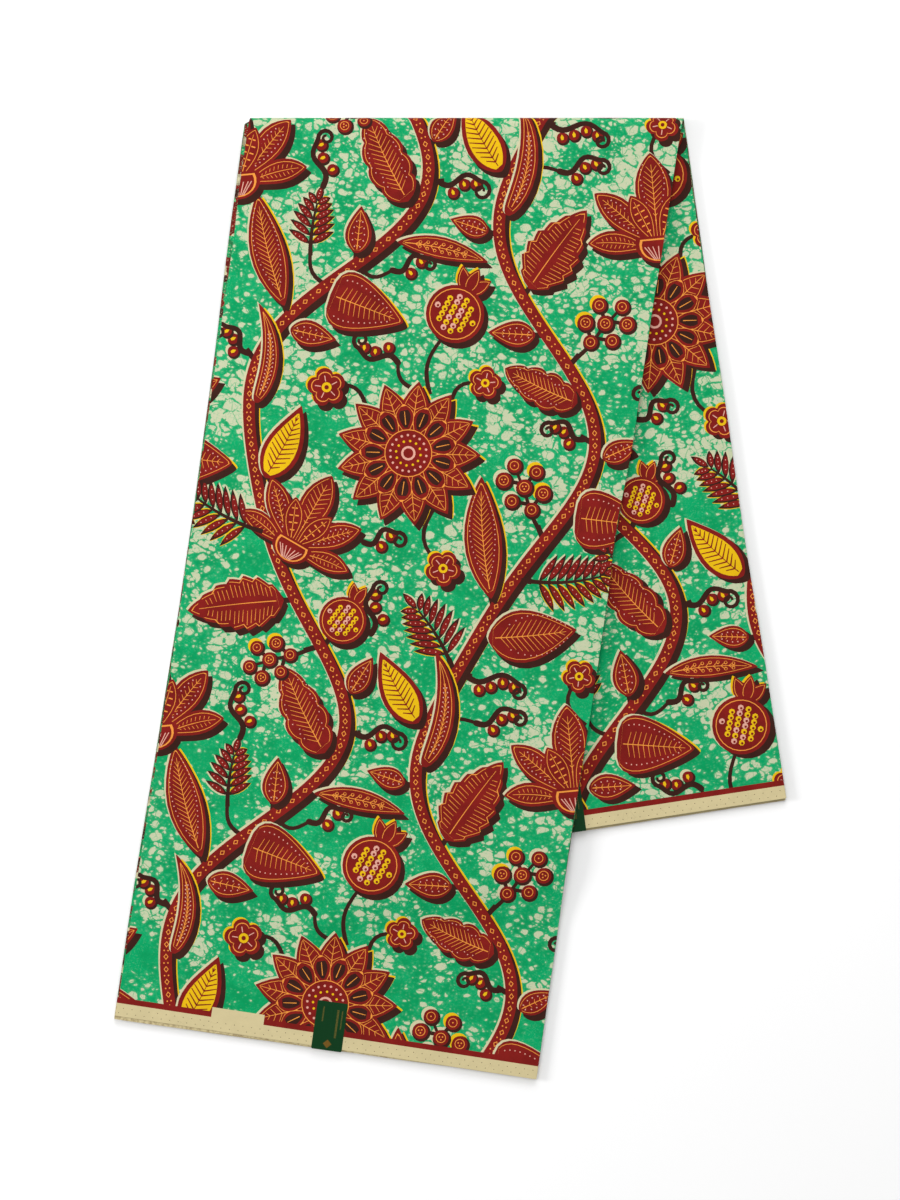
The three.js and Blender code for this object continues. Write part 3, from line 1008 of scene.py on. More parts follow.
class Shader:
    """A material's node tree as it is put together."""

    def __init__(self, name: str) -> None:
        """Starts a material of one Principled shader."""
        self.material = bpy.data.materials.new(name)
        self.material.use_nodes = True
        self.tree = self.material.node_tree
        self.surface = self.tree.nodes["Principled BSDF"]

    def node(self, kind: str, settings: dict[str, Any], inputs: dict[Any, Any]) -> Any:
        """Adds a node.

        Args:
            kind: The node's type, without its prefix.
            settings: Its properties, which are set first.
            inputs: A value, a socket or a Value for each of its sockets, by name or number.

        Returns:
            The node.
        """
        node = self.tree.nodes.new("ShaderNode" + kind)
        for name, setting in settings.items():
            setattr(node, name, setting)
        for name, given in inputs.items():
            self.feed(node.inputs[name], given)
        return node

    def feed(self, socket: Any, given: Any) -> None:
        """Links a socket to another, or sets its value."""
        source = given.socket if isinstance(given, Value) else given
        if isinstance(source, bpy.types.NodeSocket):
            self.tree.links.new(source, socket)
        elif isinstance(source, tuple) and len(source) == 3 and socket.type == "RGBA":
            socket.default_value = (*source, 1.0)
        else:
            socket.default_value = source

    def dress(self, **inputs: Any) -> None:
        """Sets the Principled shader's sockets. A name's underscores stand for spaces."""
        for name, given in inputs.items():
            self.feed(self.surface.inputs[name.replace("_", " ")], given)

    def coordinate(self, uv_map: str, stretch: Place = (1, 1, 1)) -> Any:
        """A UV map of the piece, stretched."""
        node = self.node("UVMap", {"uv_map": uv_map}, {})
        return self.stretched(node.outputs["UV"], stretch)

    def stretched(self, vector: Any, stretch: Place) -> Any:
        """A vector stretched along its axes."""
        return self.node("Mapping", {}, {"Vector": vector, "Scale": stretch}).outputs["Vector"]

    def apart(self, vector: Any) -> tuple[Value, Value]:
        """The x and y of a vector."""
        node = self.node("SeparateXYZ", {}, {"Vector": vector})
        return Value(self, node.outputs["X"]), Value(self, node.outputs["Y"])

    def noise(self, vector: Any, scale: float, detail: float = 2.0, roughness: float = 0.5) -> Value:
        """Soft noise about one half."""
        inputs = {"Vector": vector, "Scale": scale, "Detail": detail, "Roughness": roughness}
        return Value(self, self.node("TexNoise", {}, inputs).outputs[0])

    def warped(self, vector: Any, scale: float, amount: float) -> Any:
        """A vector moved about by noise, by up to about half an amount."""
        noise = self.node("TexNoise", {}, {"Vector": vector, "Scale": scale, "Detail": 2.0})
        middle = (0.5, 0.5, 0.5)
        centred = self.node("VectorMath", {"operation": "SUBTRACT"}, {0: noise.outputs["Color"], 1: middle})
        moved = self.node("VectorMath", {"operation": "MULTIPLY_ADD"},
                          {0: centred.outputs[0], 1: (amount, amount, 0.0), 2: vector})
        return moved.outputs[0]

    def cells(self, vector: Any, scale: float) -> tuple[Value, Value, Value]:
        """Cells: the distance to a cell's edge, that from its middle, and a number of each cell's own."""
        inputs = {"Vector": vector, "Scale": scale, "Randomness": 0.95}
        edge = self.node("TexVoronoi", {"feature": "DISTANCE_TO_EDGE", "voronoi_dimensions": "2D"}, inputs)
        own = self.node("TexVoronoi", {"feature": "F1", "voronoi_dimensions": "2D"}, inputs)
        number, _ = self.apart(own.outputs["Color"])
        return Value(self, edge.outputs["Distance"]), Value(self, own.outputs["Distance"]), number

    def mix(self, share: Any, first: Any, second: Any) -> Any:
        """A colour that goes from the first to the second as share goes from 0 to 1."""
        node = self.node("Mix", {"data_type": "RGBA"}, {"Factor": share, 6: first, 7: second})
        return node.outputs[2]

    def bump(self, height: Any, distance: float, strength: float = 1.0, below: Any = None) -> Any:
        """A normal raised by a height, over another bump if there is one."""
        inputs = {"Height": height, "Distance": distance, "Strength": strength}
        if below is not None:
            inputs["Normal"] = below
        return self.node("Bump", {}, inputs).outputs["Normal"]


@dataclass(frozen=True)
class Cotton:
    """The ground that every finish of the cloth shares: a fine plain weave, a little unevenly pressed."""

    thread_pitch: float = 0.3
    roughness: float = 0.74
    gloss: float = 0.09

    def weave(self, shader: Shader, point: Any) -> Any:
        """The bumps of the weave and of the pressed cloth."""
        x, y = shader.apart(point)
        turns = math.pi / (self.thread_pitch * MM)
        threads = (x * turns).sine() * (y * turns).sine()
        slubs = shader.noise(shader.stretched(point, (1, 6, 1)), 260, 2)
        pressed = shader.bump(shader.noise(point, 16, 1), 0.0016)
        slubbed = shader.bump(slubs, 0.00005, 0.8, pressed)
        return shader.bump(threads, 0.00003, 0.5, slubbed)

    def dress(self, shader: Shader, colour: Any, point: Any) -> None:
        """Dresses a material with a colour and the weave."""
        shader.surface.inputs["Specular IOR Level"].default_value = self.gloss
        grain = shader.noise(point, 900, 2)
        shader.dress(Base_Color=colour, Roughness=self.roughness - 0.04 + grain * 0.08,
                     Normal=self.weave(shader, point))


COTTON = Cotton()


@dataclass(frozen=True)
class Dye:
    """An ink printed flat: its colour wanders a little, and fine cracks of the wax show in it."""

    ink: Ink
    colour: Colour
    drift: float
    cracks: float
    crack_colour: Colour = linear(70, 20, 20)

    def make(self) -> bpy.types.Material:
        """The material."""
        shader = Shader(self.ink.value)
        point = shader.coordinate(PRINT_MAP)
        dark = tuple(part * (1 - self.drift) for part in self.colour)
        light = tuple(min(part * (1 + self.drift), 1.0) for part in self.colour)
        wander = shader.noise(point, 55, 4, 0.65)
        body = shader.mix(wander.eased(0.3, 0.7), dark, light)
        edge, _, _ = shader.cells(shader.warped(point, 300, 0.002), 230)
        lines = (1 - edge.eased(0.012, 0.045)) * shader.noise(point, 90, 3).eased(0.55, 0.68)
        colour = shader.mix(lines * self.cracks, body, self.crack_colour)
        COTTON.dress(shader, colour, point)
        return shader.material


@dataclass(frozen=True)
class BubbleLayer:
    """Round bubbles of bare cloth of about one size: their spacing in millimetres, and, as shares of it,
    their least and greatest radii and the seam of dyed cloth between them.
    """

    spacing: float
    least: float
    most: float
    seam: float

    def bare(self, shader: Shader, point: Any, swell: Value) -> Value:
        """How far inside a bubble a place is, in millimetres. Swell makes the bubbles larger or smaller."""
        edge, middle, own = shader.cells(point, 1 / (self.spacing * MM))
        disc = own * (self.most - self.least) + self.least + swell - middle
        return disc.least(edge - self.seam) * self.spacing


@dataclass(frozen=True)
class CrackledGround:
    """The green ground, where bubbles of bare cream stand in clusters within a net of cracks."""

    green: Colour = linear(0, 158, 96)
    deep_green: Colour = linear(0, 145, 85)
    haze: Colour = linear(92, 178, 128)
    cream: Colour = linear(189, 195, 161)
    layers: tuple[BubbleLayer, ...] = (
        BubbleLayer(9.6, 0.26, 0.52, 0.07),
        BubbleLayer(5.4, 0.12, 0.48, 0.08),
        BubbleLayer(2.6, -0.18, 0.4, 0.05),
    )
    bareness: float = 0.55
    thinning: float = 0.16
    clustering: float = 1.5

    def make(self) -> bpy.types.Material:
        """The material."""
        shader = Shader(Ink.GROUND.value)
        point = shader.coordinate(PRINT_MAP)
        flattened = shader.coordinate(PRINT_MAP, (0.88, 1.18, 1))
        wandering = shader.warped(shader.warped(flattened, 55, 0.009), 210, 0.0026)
        _, up = shader.apart(point)
        swell = (shader.noise(point, 24, 3, 0.55) - self.bareness + up * self.thinning) * self.clustering
        bubbles = [layer.bare(shader, wandering, swell) for layer in self.layers]
        deepest = bubbles[0].most(bubbles[1]).most(bubbles[2])
        ragged = (shader.noise(point, 1000, 4, 0.8) - 0.5) * 1.9
        bare = (deepest + ragged).eased(-0.05, 0.3)
        net, _, _ = shader.cells(shader.warped(point, 90, 0.012), 105)
        strands = (1 - net.eased(0.01, 0.05)) * shader.noise(point, 60, 2).eased(0.42, 0.55)
        fine_net, _, _ = shader.cells(shader.warped(point, 420, 0.003), 340)
        cracks = (1 - fine_net.eased(0.01, 0.08)) * shader.noise(point, 140, 3).eased(0.47, 0.6)
        speckle = shader.noise(shader.warped(point, 200, 0.004), 700, 3, 0.8).eased(0.53, 0.66)
        mottle = shader.noise(point, 45, 4, 0.7)
        body = shader.mix(mottle.eased(0.38, 0.62), self.deep_green, self.green)
        flecks = speckle * mottle.eased(0.42, 0.58) * 0.6
        hazed = shader.mix(flecks.most(deepest.eased(-1.4, 0.2) * 0.42), body, self.haze)
        washed = shader.mix((cracks * 0.9).most(speckle * 0.28), self.cream, self.haze)
        colour = shader.mix(bare * (1 - strands * 0.85), hazed, washed)
        COTTON.dress(shader, colour, point)
        return shader.material


@dataclass(frozen=True)
class FoldedPrint:
    """What shows of the print at the folded edges and hems of the hidden leaves: stretches of its inks, the
    red band along the hem, and the selvedge, with brown patches that are partly stains and partly painted
    shade between the layers.
    """

    front_length: float
    back_length: float
    hem: float
    band: float
    # The colour of the selvedge's stains and of the painted shade between the layers at the hems.
    stain_and_shade_colour: Colour = linear(112, 86, 54)

    def make(self) -> bpy.types.Material:
        """The material."""
        shader = Shader("printed_edges")
        point = shader.coordinate(PRINT_MAP)
        _, _, own = shader.cells(shader.warped(point, 120, 0.02), 150)
        stops = ((0.0, Ink.GROUND), (0.26, Ink.CREAM), (0.36, Ink.RED), (0.62, Ink.BROWN), (0.8, Ink.GROUND))
        ramp = shader.node("ValToRGB", {}, {"Fac": own})
        ramp.color_ramp.interpolation = "CONSTANT"
        elements = ramp.color_ramp.elements
        while len(elements) < len(stops):
            elements.new(1.0)
        for element, (place, ink) in zip(elements, stops):
            element.position = place
            element.color = (*INK_COLOURS[ink], 1.0)
        fleck = shader.noise(point, 900, 3).eased(0.57, 0.62) * 0.6
        flecked = shader.mix(fleck, ramp.outputs["Color"], INK_COLOURS[Ink.CREAM])
        shade = shader.noise(point, 260, 4, 0.6).eased(0.4, 0.62) * 0.6
        printed = shader.mix(shade, flecked, INK_COLOURS[Ink.BROWN])
        _, along = shader.apart(point)
        to_front, to_back = self.front_length * MM - along, along + self.back_length * MM
        to_hem = to_front.least(to_back)
        banded = shader.mix(to_hem > (self.hem + self.band) * MM, INK_COLOURS[Ink.RED], printed)
        # Random brown patches on the selvedge: partly stains, partly painted shade between the stacked layers
        # at the hems.
        stain_and_shade = shader.noise(point, 420, 4).eased(0.38, 0.66) * 0.6
        stained_and_shaded = shader.mix(stain_and_shade, INK_COLOURS[Ink.SELVEDGE], self.stain_and_shade_colour)
        colour = shader.mix(to_hem > self.hem * MM, stained_and_shaded, banded)
        COTTON.dress(shader, colour, point)
        return shader.material


@dataclass(frozen=True)
class LabelPaper:
    """Dark green paper with three plain bars and a diamond in dull gold.

    A bar's row gives its middle, as shares of the label's width and length, and half its own width and length
    in millimetres.
    """

    width: float
    length: float
    green: Colour = linear(1, 55, 21)
    gold: Colour = linear(92, 84, 34)
    amber: Colour = linear(112, 80, 24)
    bars: tuple[tuple[float, float, float, float], ...] = (
        (0.24, 0.73, 0.5, 5.4), (0.72, 0.56, 0.75, 10.2), (0.86, 0.65, 0.4, 6.8),
    )
    diamond: float = 3.1

    def make(self) -> bpy.types.Material:
        """The material."""
        shader = Shader("label_paper")
        point = shader.coordinate("Label", (self.width, self.length, 1))
        x, y = shader.apart(point)
        colour = shader.mix(shader.noise(point, 0.5, 3), tuple(part * 0.8 for part in self.green), self.green)
        rubbed = shader.noise(point, 1.7, 4, 0.7).eased(0.36, 0.56)
        for across, along, half_width, half_length in self.bars:
            beside = (x - self.width * across).size() - half_width
            beyond = (y - self.length * along).size() - half_length
            bar = 1 - beside.most(beyond).eased(-0.1, 0.1)
            colour = shader.mix(bar * rubbed, colour, self.gold)
        off = (x - self.width / 2).size() + (y - self.diamond * 1.5).size()
        colour = shader.mix((1 - (off - self.diamond).eased(-0.2, 0.2)) * 0.9, colour, self.amber)
        shader.surface.inputs["Specular IOR Level"].default_value = 0.1
        cockled = shader.bump(shader.noise(point, 6, 3), 0.00003)
        shader.dress(Base_Color=colour, Roughness=0.42, Normal=cockled)
        return shader.material


@dataclass(frozen=True)
class PaleFloor:
    """A matt, nearly white floor."""

    colour: Colour = (0.96, 0.96, 0.96)

    def make(self) -> bpy.types.Material:
        """The material."""
        shader = Shader("pale_floor")
        shader.dress(Base_Color=self.colour, Roughness=0.9)
        return shader.material


INK_COLOURS = {
    Ink.GROUND: CrackledGround.green,
    Ink.CREAM: linear(200, 194, 156),
    Ink.YELLOW: linear(222, 178, 14),
    Ink.BROWN: linear(54, 27, 20),
    Ink.RED: linear(122, 24, 20),
    Ink.GOLD: linear(229, 146, 60),
    Ink.PALE: linear(216, 160, 142),
    Ink.SELVEDGE: linear(202, 188, 144),
}


INK_CRACKS = {
    Ink.RED: 0.3, Ink.BROWN: 0.2, Ink.CREAM: 0.3, Ink.YELLOW: 0.15, Ink.GOLD: 0.1, Ink.PALE: 0.1,
    Ink.SELVEDGE: 0.15,
}
DARK_INKS = (Ink.RED, Ink.BROWN)
DARK_DRIFT = 0.16
LIGHT_DRIFT = 0.04


def ink_finishes() -> list[bpy.types.Material]:
    """A material for each ink, in the order of the inks."""
    made = {}
    for ink, cracks in INK_CRACKS.items():
        drift = DARK_DRIFT if ink in DARK_INKS else LIGHT_DRIFT
        made[ink] = Dye(ink, INK_COLOURS[ink], drift, cracks).make()
    made[Ink.GROUND] = CrackledGround().make()
    return [made[ink] for ink in Ink]


# ---------------------------------------------------------------- the pieces


class Shell:
    """Points and faces of a piece of cloth, with its print and bake coordinates, on the way to a mesh."""

    def __init__(self) -> None:
        """Starts an empty shell."""
        self.points: list[Vector] = []
        self.faces: list[tuple[int, ...]] = []
        self.finishes: list[int] = []
        self.prints: list[Point] = []
        self.bakes: list[Point] = []

    def point(self, place: Sequence[float]) -> int:
        """Adds a point, given in millimetres, and returns its number."""
        self.points.append(Vector(place) * MM)
        return len(self.points) - 1

    def face(self, corners: Sequence[int], prints: Sequence[Point], bakes: Sequence[Point],
             finish: int = 0) -> None:
        """Adds a face, unless two of its corners are one, with the coordinates of each corner."""
        if len(set(corners)) == len(corners):
            self.faces.append(tuple(corners))
            self.finishes.append(finish)
            self.prints.extend(prints)
            self.bakes.extend(bakes)

    def piece(self, name: str, finishes: Sequence[bpy.types.Material],
              sharp: float = 30.0) -> bpy.types.Object:
        """Makes the piece's object, smooth but for edges sharper than an angle in degrees."""
        mesh = bpy.data.meshes.new(name)
        mesh.from_pydata(self.points, [], self.faces)
        for finish in finishes:
            mesh.materials.append(finish)
        mesh.polygons.foreach_set("material_index", self.finishes)
        for layer, places, scale in ((PRINT_MAP, self.prints, MM), (BAKE_MAP, self.bakes, 1.0)):
            uv = mesh.uv_layers.new(name=layer)
            uv.data.foreach_set("uv", [part * scale for place in places for part in place])
        mesh.update()
        made = bpy.data.objects.new(name, mesh)
        bpy.context.scene.collection.objects.link(made)
        choose(made)
        bpy.ops.object.shade_smooth_by_angle(angle=math.radians(sharp))
        log.info("%s: %d faces", name, len(self.faces))
        return made


def choose(*pieces: bpy.types.Object) -> None:
    """Selects only these objects, and makes the first one active."""
    bpy.ops.object.select_all(action="DESELECT")
    for piece in pieces:
        piece.select_set(True)
    bpy.context.view_layer.objects.active = pieces[0] if pieces else None


# The selvedge is printed and pricked over all else.
SELVEDGE_ORDER = (9, 0, 0)

# What the triangulation is asked for: all its triangles, with points this near, in millimetres, made one.
ALL_TRIANGLES = 0
MERGE_DISTANCE = 1e-4


@dataclass
class Cut:
    """A leaf's plane divided into triangles: its points, the given points that each stands for, and each
    triangle's corners and ink.
    """

    points: list[Point]
    sources: list[list[int]]
    triangles: list[tuple[int, ...]]
    inks: list[Ink]


@dataclass
class PrintedLeaf:
    """The leaf that shows on one arm: a thin shell with the print as its upper face. Its plane has x across
    the strip and y up it, as seen from above.
    """

    name: str
    strip: Strip
    arm: Arm
    edges: Sequence[tuple[float, ...]]
    print_shift: Point
    notch: tuple[float, float] | None = None
    wall: float = 0.5
    roll: float = 0.2
    hem: float = 9.5
    band: float = 4.0
    notch_rise: float = 16.7
    pin_pitch: float = 6.2
    pin_radius: float = 0.36
    pin_rows: tuple[Point, ...] = ((2.6, 0.25), (6.2, 0.75))
    past_edge: float = 6.0
    fold_past_edge: float = 5.0
    past_hem: float = 3.0
    edge_step: float = 6.0
    hem_columns: int = 40
    grid: float = 8.0
    coarse_grid: float = 16.0
    grid_inset: float = 1.5
    fold_step: float = 1.05
    row_before_fold: float = 7.0
    rows_after_fold: tuple[float, float] = (3.0, 7.0)
    grid_after_rows: float = 3.0
    grid_after_start: float = 2.0
    crest_clearance: float = 2.0
    hidden_margin: float = 14.0
    bake_margin: float = 3.5
    bake_floor: float = 0.07
    bake_under_height: float = 0.06

    @property
    def length(self) -> float:
        """From the crest of the fold to the hem."""
        return self.strip.front_length if self.arm is Arm.FRONT else self.strip.back_length

    @property
    def start(self) -> float:
        """Where the leaf starts, square to the crest: beyond it at the front, short of it at the back."""
        fold = self.strip.quarter_fold
        return -fold - self.strip.tucked_tail if self.arm is Arm.FRONT else fold + self.crest_clearance

    @property
    def flat(self) -> tuple[float, float]:
        """The leaf's cut, in metres."""
        return self.strip.width * MM, (self.length - self.start) * MM

    def along(self, y: float) -> float:
        """A place along the strip for a height of the leaf's plane."""
        return -y if self.arm is Arm.FRONT else y

    def place(self, point: Point, level: float) -> Place:
        """Where a point of the plane lies, at a level from the printed face, 0, to the underside, 1."""
        depth = self.wall * level if self.arm is Arm.FRONT else self.strip.thickness - self.wall * level
        return self.strip.place(point[0], self.along(point[1]), depth)

    def row(self, past: float, x: float) -> Point:
        """A point of the plane that lies a distance past the crest, square to it."""
        tilt = x * math.tan(self.strip.lean) * self.arm.value
        return x, -past / math.cos(self.strip.lean) + tilt

    def outline(self, inset: float) -> list[Point]:
        """The leaf's outline, counterclockwise, moved in by an inset."""
        half = self.strip.width / 2
        bottom = -self.length + inset
        steps = round(self.length / self.edge_step)
        left, right = [], []
        for n in range(steps + 1):
            for column, sign, side in (("left", -1, left), ("right", 1, right)):
                top = self.row(self.start + inset, sign * half)[1]
                y = lerp(bottom, top, n / steps)
                out = half + from_table(self.edges, self.along(y), column) - inset
                side.append((sign * out, y))
        columns = self.hem_columns
        hem = [(lerp(left[0][0], right[0][0], n / columns), bottom) for n in range(1, columns)]
        head = [(lerp(right[-1][0], left[-1][0], n / columns), lerp(right[-1][1], left[-1][1], n / columns))
                for n in range(1, columns)]
        return hem + right + head + left[::-1]

    def fold_rows(self) -> list[float]:
        """Distances past the crest where the leaf needs a row of points, because it bends there."""
        fold = self.strip.quarter_fold
        if self.arm is Arm.BACK:
            return []
        count = 2 * round(fold / self.fold_step)
        bend = [lerp(-fold, fold, n / count) for n in range(count + 1)]
        return [-fold - self.row_before_fold, *bend, *(fold + past for past in self.rows_after_fold)]

    def spots(self, grid: float) -> list[Point]:
        """Loose points inside the leaf, on a grid and on the rows of the fold."""
        half = self.strip.width / 2 - self.grid_inset
        columns = math.ceil(2 * half / grid)
        xs = [lerp(-half, half, n / columns) for n in range(columns + 1)]
        rows = self.fold_rows()
        first = rows[-1] + self.grid_after_rows if rows else self.start + self.grid_after_start
        count = math.ceil((self.length - first) / grid)
        # Each row's points lie a little to the side of the next row's.
        spots = [self.row(past, x + (past / 3 % 1)) for past in rows for x in xs[:-1]]
        for x in xs:
            top = self.row(first, x)[1]
            spots += [(x, lerp(top, self.grid_inset - self.length, (n + 0.5) / count)) for n in range(count)]
        return spots

    def selvedge(self) -> list[Patch]:
        """The cream selvedge with its pin holes, and the red band above it, with a bare field for a code."""
        hem, top = -self.length, -self.length + self.hem
        half = self.strip.width / 2 + self.past_edge
        areas = [((-half, half, top, top + self.band), Ink.RED),
                 ((-half, half, hem - self.past_hem, top), Ink.SELVEDGE)]
        if self.notch:
            areas.append(((*self.notch, top - 0.2, hem + self.notch_rise), Ink.SELVEDGE))
        patches = []
        for (west, east, south, north), ink in areas:
            corners = ((west, south), (east, south), (east, north), (west, north))
            patches.append(Patch(corners, ink, SELVEDGE_ORDER))
        holes = round(self.strip.width / self.pin_pitch)
        for n in range(holes):
            for rise, offset in self.pin_rows:
                x = -half + self.past_edge + self.pin_pitch * (n + offset)
                hole = ring(x, hem + rise, self.pin_radius, 4)
                patches.append(Patch(tuple(hole), Ink.BROWN, SELVEDGE_ORDER))
        return patches

    def cut(self, outline: Sequence[Point], patches: Sequence[Patch], grid: float) -> Cut:
        """Divides the leaf into triangles along patches of ink.

        Args:
            outline: The leaf's outline, counterclockwise. Its points are the first given ones.
            patches: The patches, in painter's order.
            grid: The space between the loose points.

        Returns:
            The triangles inside the outline.
        """
        points: list[Point] = []
        faces: list[list[int]] = []
        for shape in (outline, *(patch.outline for patch in patches)):
            turned = sum(a[0] * b[1] - b[0] * a[1] for a, b in zip(shape, (*shape[1:], shape[0]))) < 0
            faces.append(list(range(len(points), len(points) + len(shape))))
            points.extend(shape[::-1] if turned else shape)
        lines = []
        half = self.strip.width / 2 + self.fold_past_edge
        for past in self.fold_rows():
            lines.append((len(points), len(points) + 1))
            points += [self.row(past, -half), self.row(past, half)]
        points += self.spots(grid)
        given = [Vector(point) for point in points]
        made = delaunay_2d_cdt(given, lines, faces, ALL_TRIANGLES, MERGE_DISTANCE)
        placed, _, triangles, sources, _, owners = made
        kept, inks = [], []
        for triangle, owner in zip(triangles, owners):
            if 0 in owner:
                top = max(owner)
                kept.append(tuple(triangle))
                inks.append(patches[top - 1].ink if top else Ink.GROUND)
        return Cut([(p.x, p.y) for p in placed], sources, kept, inks)

    def bake(self, point: Point, out: Point = (0.0, 0.0), rings: float = 0.0) -> Point:
        """A place of the bake map for a point of the printed face, or of a rim outside it."""
        margin = self.bake_margin
        low, high = -self.length, max(self.row(self.start, self.strip.width / 2 * s)[1] for s in (-1, 1))
        u = (point[0] + out[0] * rings + self.strip.width / 2 + margin) / (self.strip.width + 2 * margin)
        v = (point[1] + out[1] * rings - low + margin) / (high - low + 2 * margin)
        return u, lerp(self.bake_floor, 1.0, v)

    def bake_under(self, point: Point) -> Point:
        """A place of the bake map for a point of the underside, which has a strip of its own."""
        u, v = self.bake(point)
        return (v - self.bake_floor) / (1 - self.bake_floor), u * self.bake_under_height

    def build(self, finishes: Sequence[bpy.types.Material]) -> bpy.types.Object:
        """Makes the leaf: its printed face, a rolled rim and the underside."""
        def covered(x: float, y: float) -> bool:
            """Whether the front panel always hides this place."""
            return self.arm is Arm.BACK and self.strip.under_front(x, self.along(y), self.hidden_margin)

        outline = self.outline(self.roll)
        patches = WaxPrint().cover(outline, self.print_shift, covered) + self.selvedge()
        face = self.cut(outline, patches, self.grid)
        shell = Shell()
        order = list(Ink)
        used = sorted({n for triangle in face.triangles for n in triangle})
        numbers = {n: shell.point(self.place(face.points[n], 0)) for n in used}
        for triangle, ink in zip(face.triangles, face.inks):
            places = [face.points[n] for n in triangle]
            shell.face([numbers[n] for n in triangle], places, [self.bake(place) for place in places],
                       order.index(ink))
        self.close(shell, face, numbers)
        return shell.piece(self.name, finishes)

    def close(self, shell: Shell, face: Cut, numbers: dict[int, int]) -> None:
        """Closes the shell with a rim, which carries the print on, and an underside.

        Args:
            shell: The shell, with its printed face.
            face: The printed face in the leaf's plane.
            numbers: The shell's point for each point of the face.
        """
        plane = face.points
        sides = {}
        for triangle, ink in zip(face.triangles, face.inks):
            for a, b in zip(triangle, triangle[1:] + triangle[:1]):
                sides[a, b] = ink
        after = {a: b for a, b in sides if (b, a) not in sides}
        loop = [next(iter(after))]
        while after[loop[-1]] != loop[0]:
            loop.append(after[loop[-1]])
        count = len(loop)
        outs = []
        for n in range(count):
            (x0, y0), (x1, y1) = plane[loop[n - 1]], plane[loop[(n + 1) % count]]
            run = math.hypot(x1 - x0, y1 - y0)
            outs.append(((y1 - y0) / run, -(x1 - x0) / run))
        rims = [[numbers[n] for n in loop]]
        lower = []
        for out, level in ((self.roll, 0.5), (0.0, 1.0)):
            lower = [(plane[n][0] + dx * out, plane[n][1] + dy * out) for n, (dx, dy) in zip(loop, outs)]
            rims.append([shell.point(self.place(point, level)) for point in lower])
        order = list(Ink)
        for ring_number, (upper_rim, lower_rim) in enumerate(zip(rims, rims[1:])):
            for n in range(count):
                m = (n + 1) % count
                corners = (upper_rim[m], upper_rim[n], lower_rim[n], lower_rim[m])
                places = [plane[loop[k]] for k in (m, n, n, m)]
                bakes = [self.bake(plane[loop[k]], outs[k], ring_number + down)
                         for k, down in ((m, 0), (n, 0), (n, 1), (m, 1))]
                shell.face(corners, places, bakes, order.index(sides[loop[n], loop[m]]))
        back = self.cut(lower, [], self.coarse_grid)
        under = {}
        for n in sorted({n for triangle in back.triangles for n in triangle}):
            on_rim = [source for source in back.sources[n] if source < count]
            under[n] = rims[-1][on_rim[0]] if on_rim else shell.point(self.place(back.points[n], 1))
        for triangle in back.triangles:
            places = [back.points[n] for n in reversed(triangle)]
            corners = [under[n] for n in reversed(triangle)]
            shell.face(corners, places, [self.bake_under(place) for place in places])


class StackFace(Enum):
    """The faces of the stack. Each value is an area of the bake map: west, south, east and north."""

    OUTERMOST = (0, 0, 1, 0.19)
    INNERMOST = (0, 0.2, 1, 0.39)
    LEFT = (0, 0.4, 1, 0.59)
    RIGHT = (0, 0.6, 1, 0.79)
    FRONT_HEM = (0, 0.8, 0.49, 1)
    BACK_HEM = (0.5, 0.8, 1, 1)


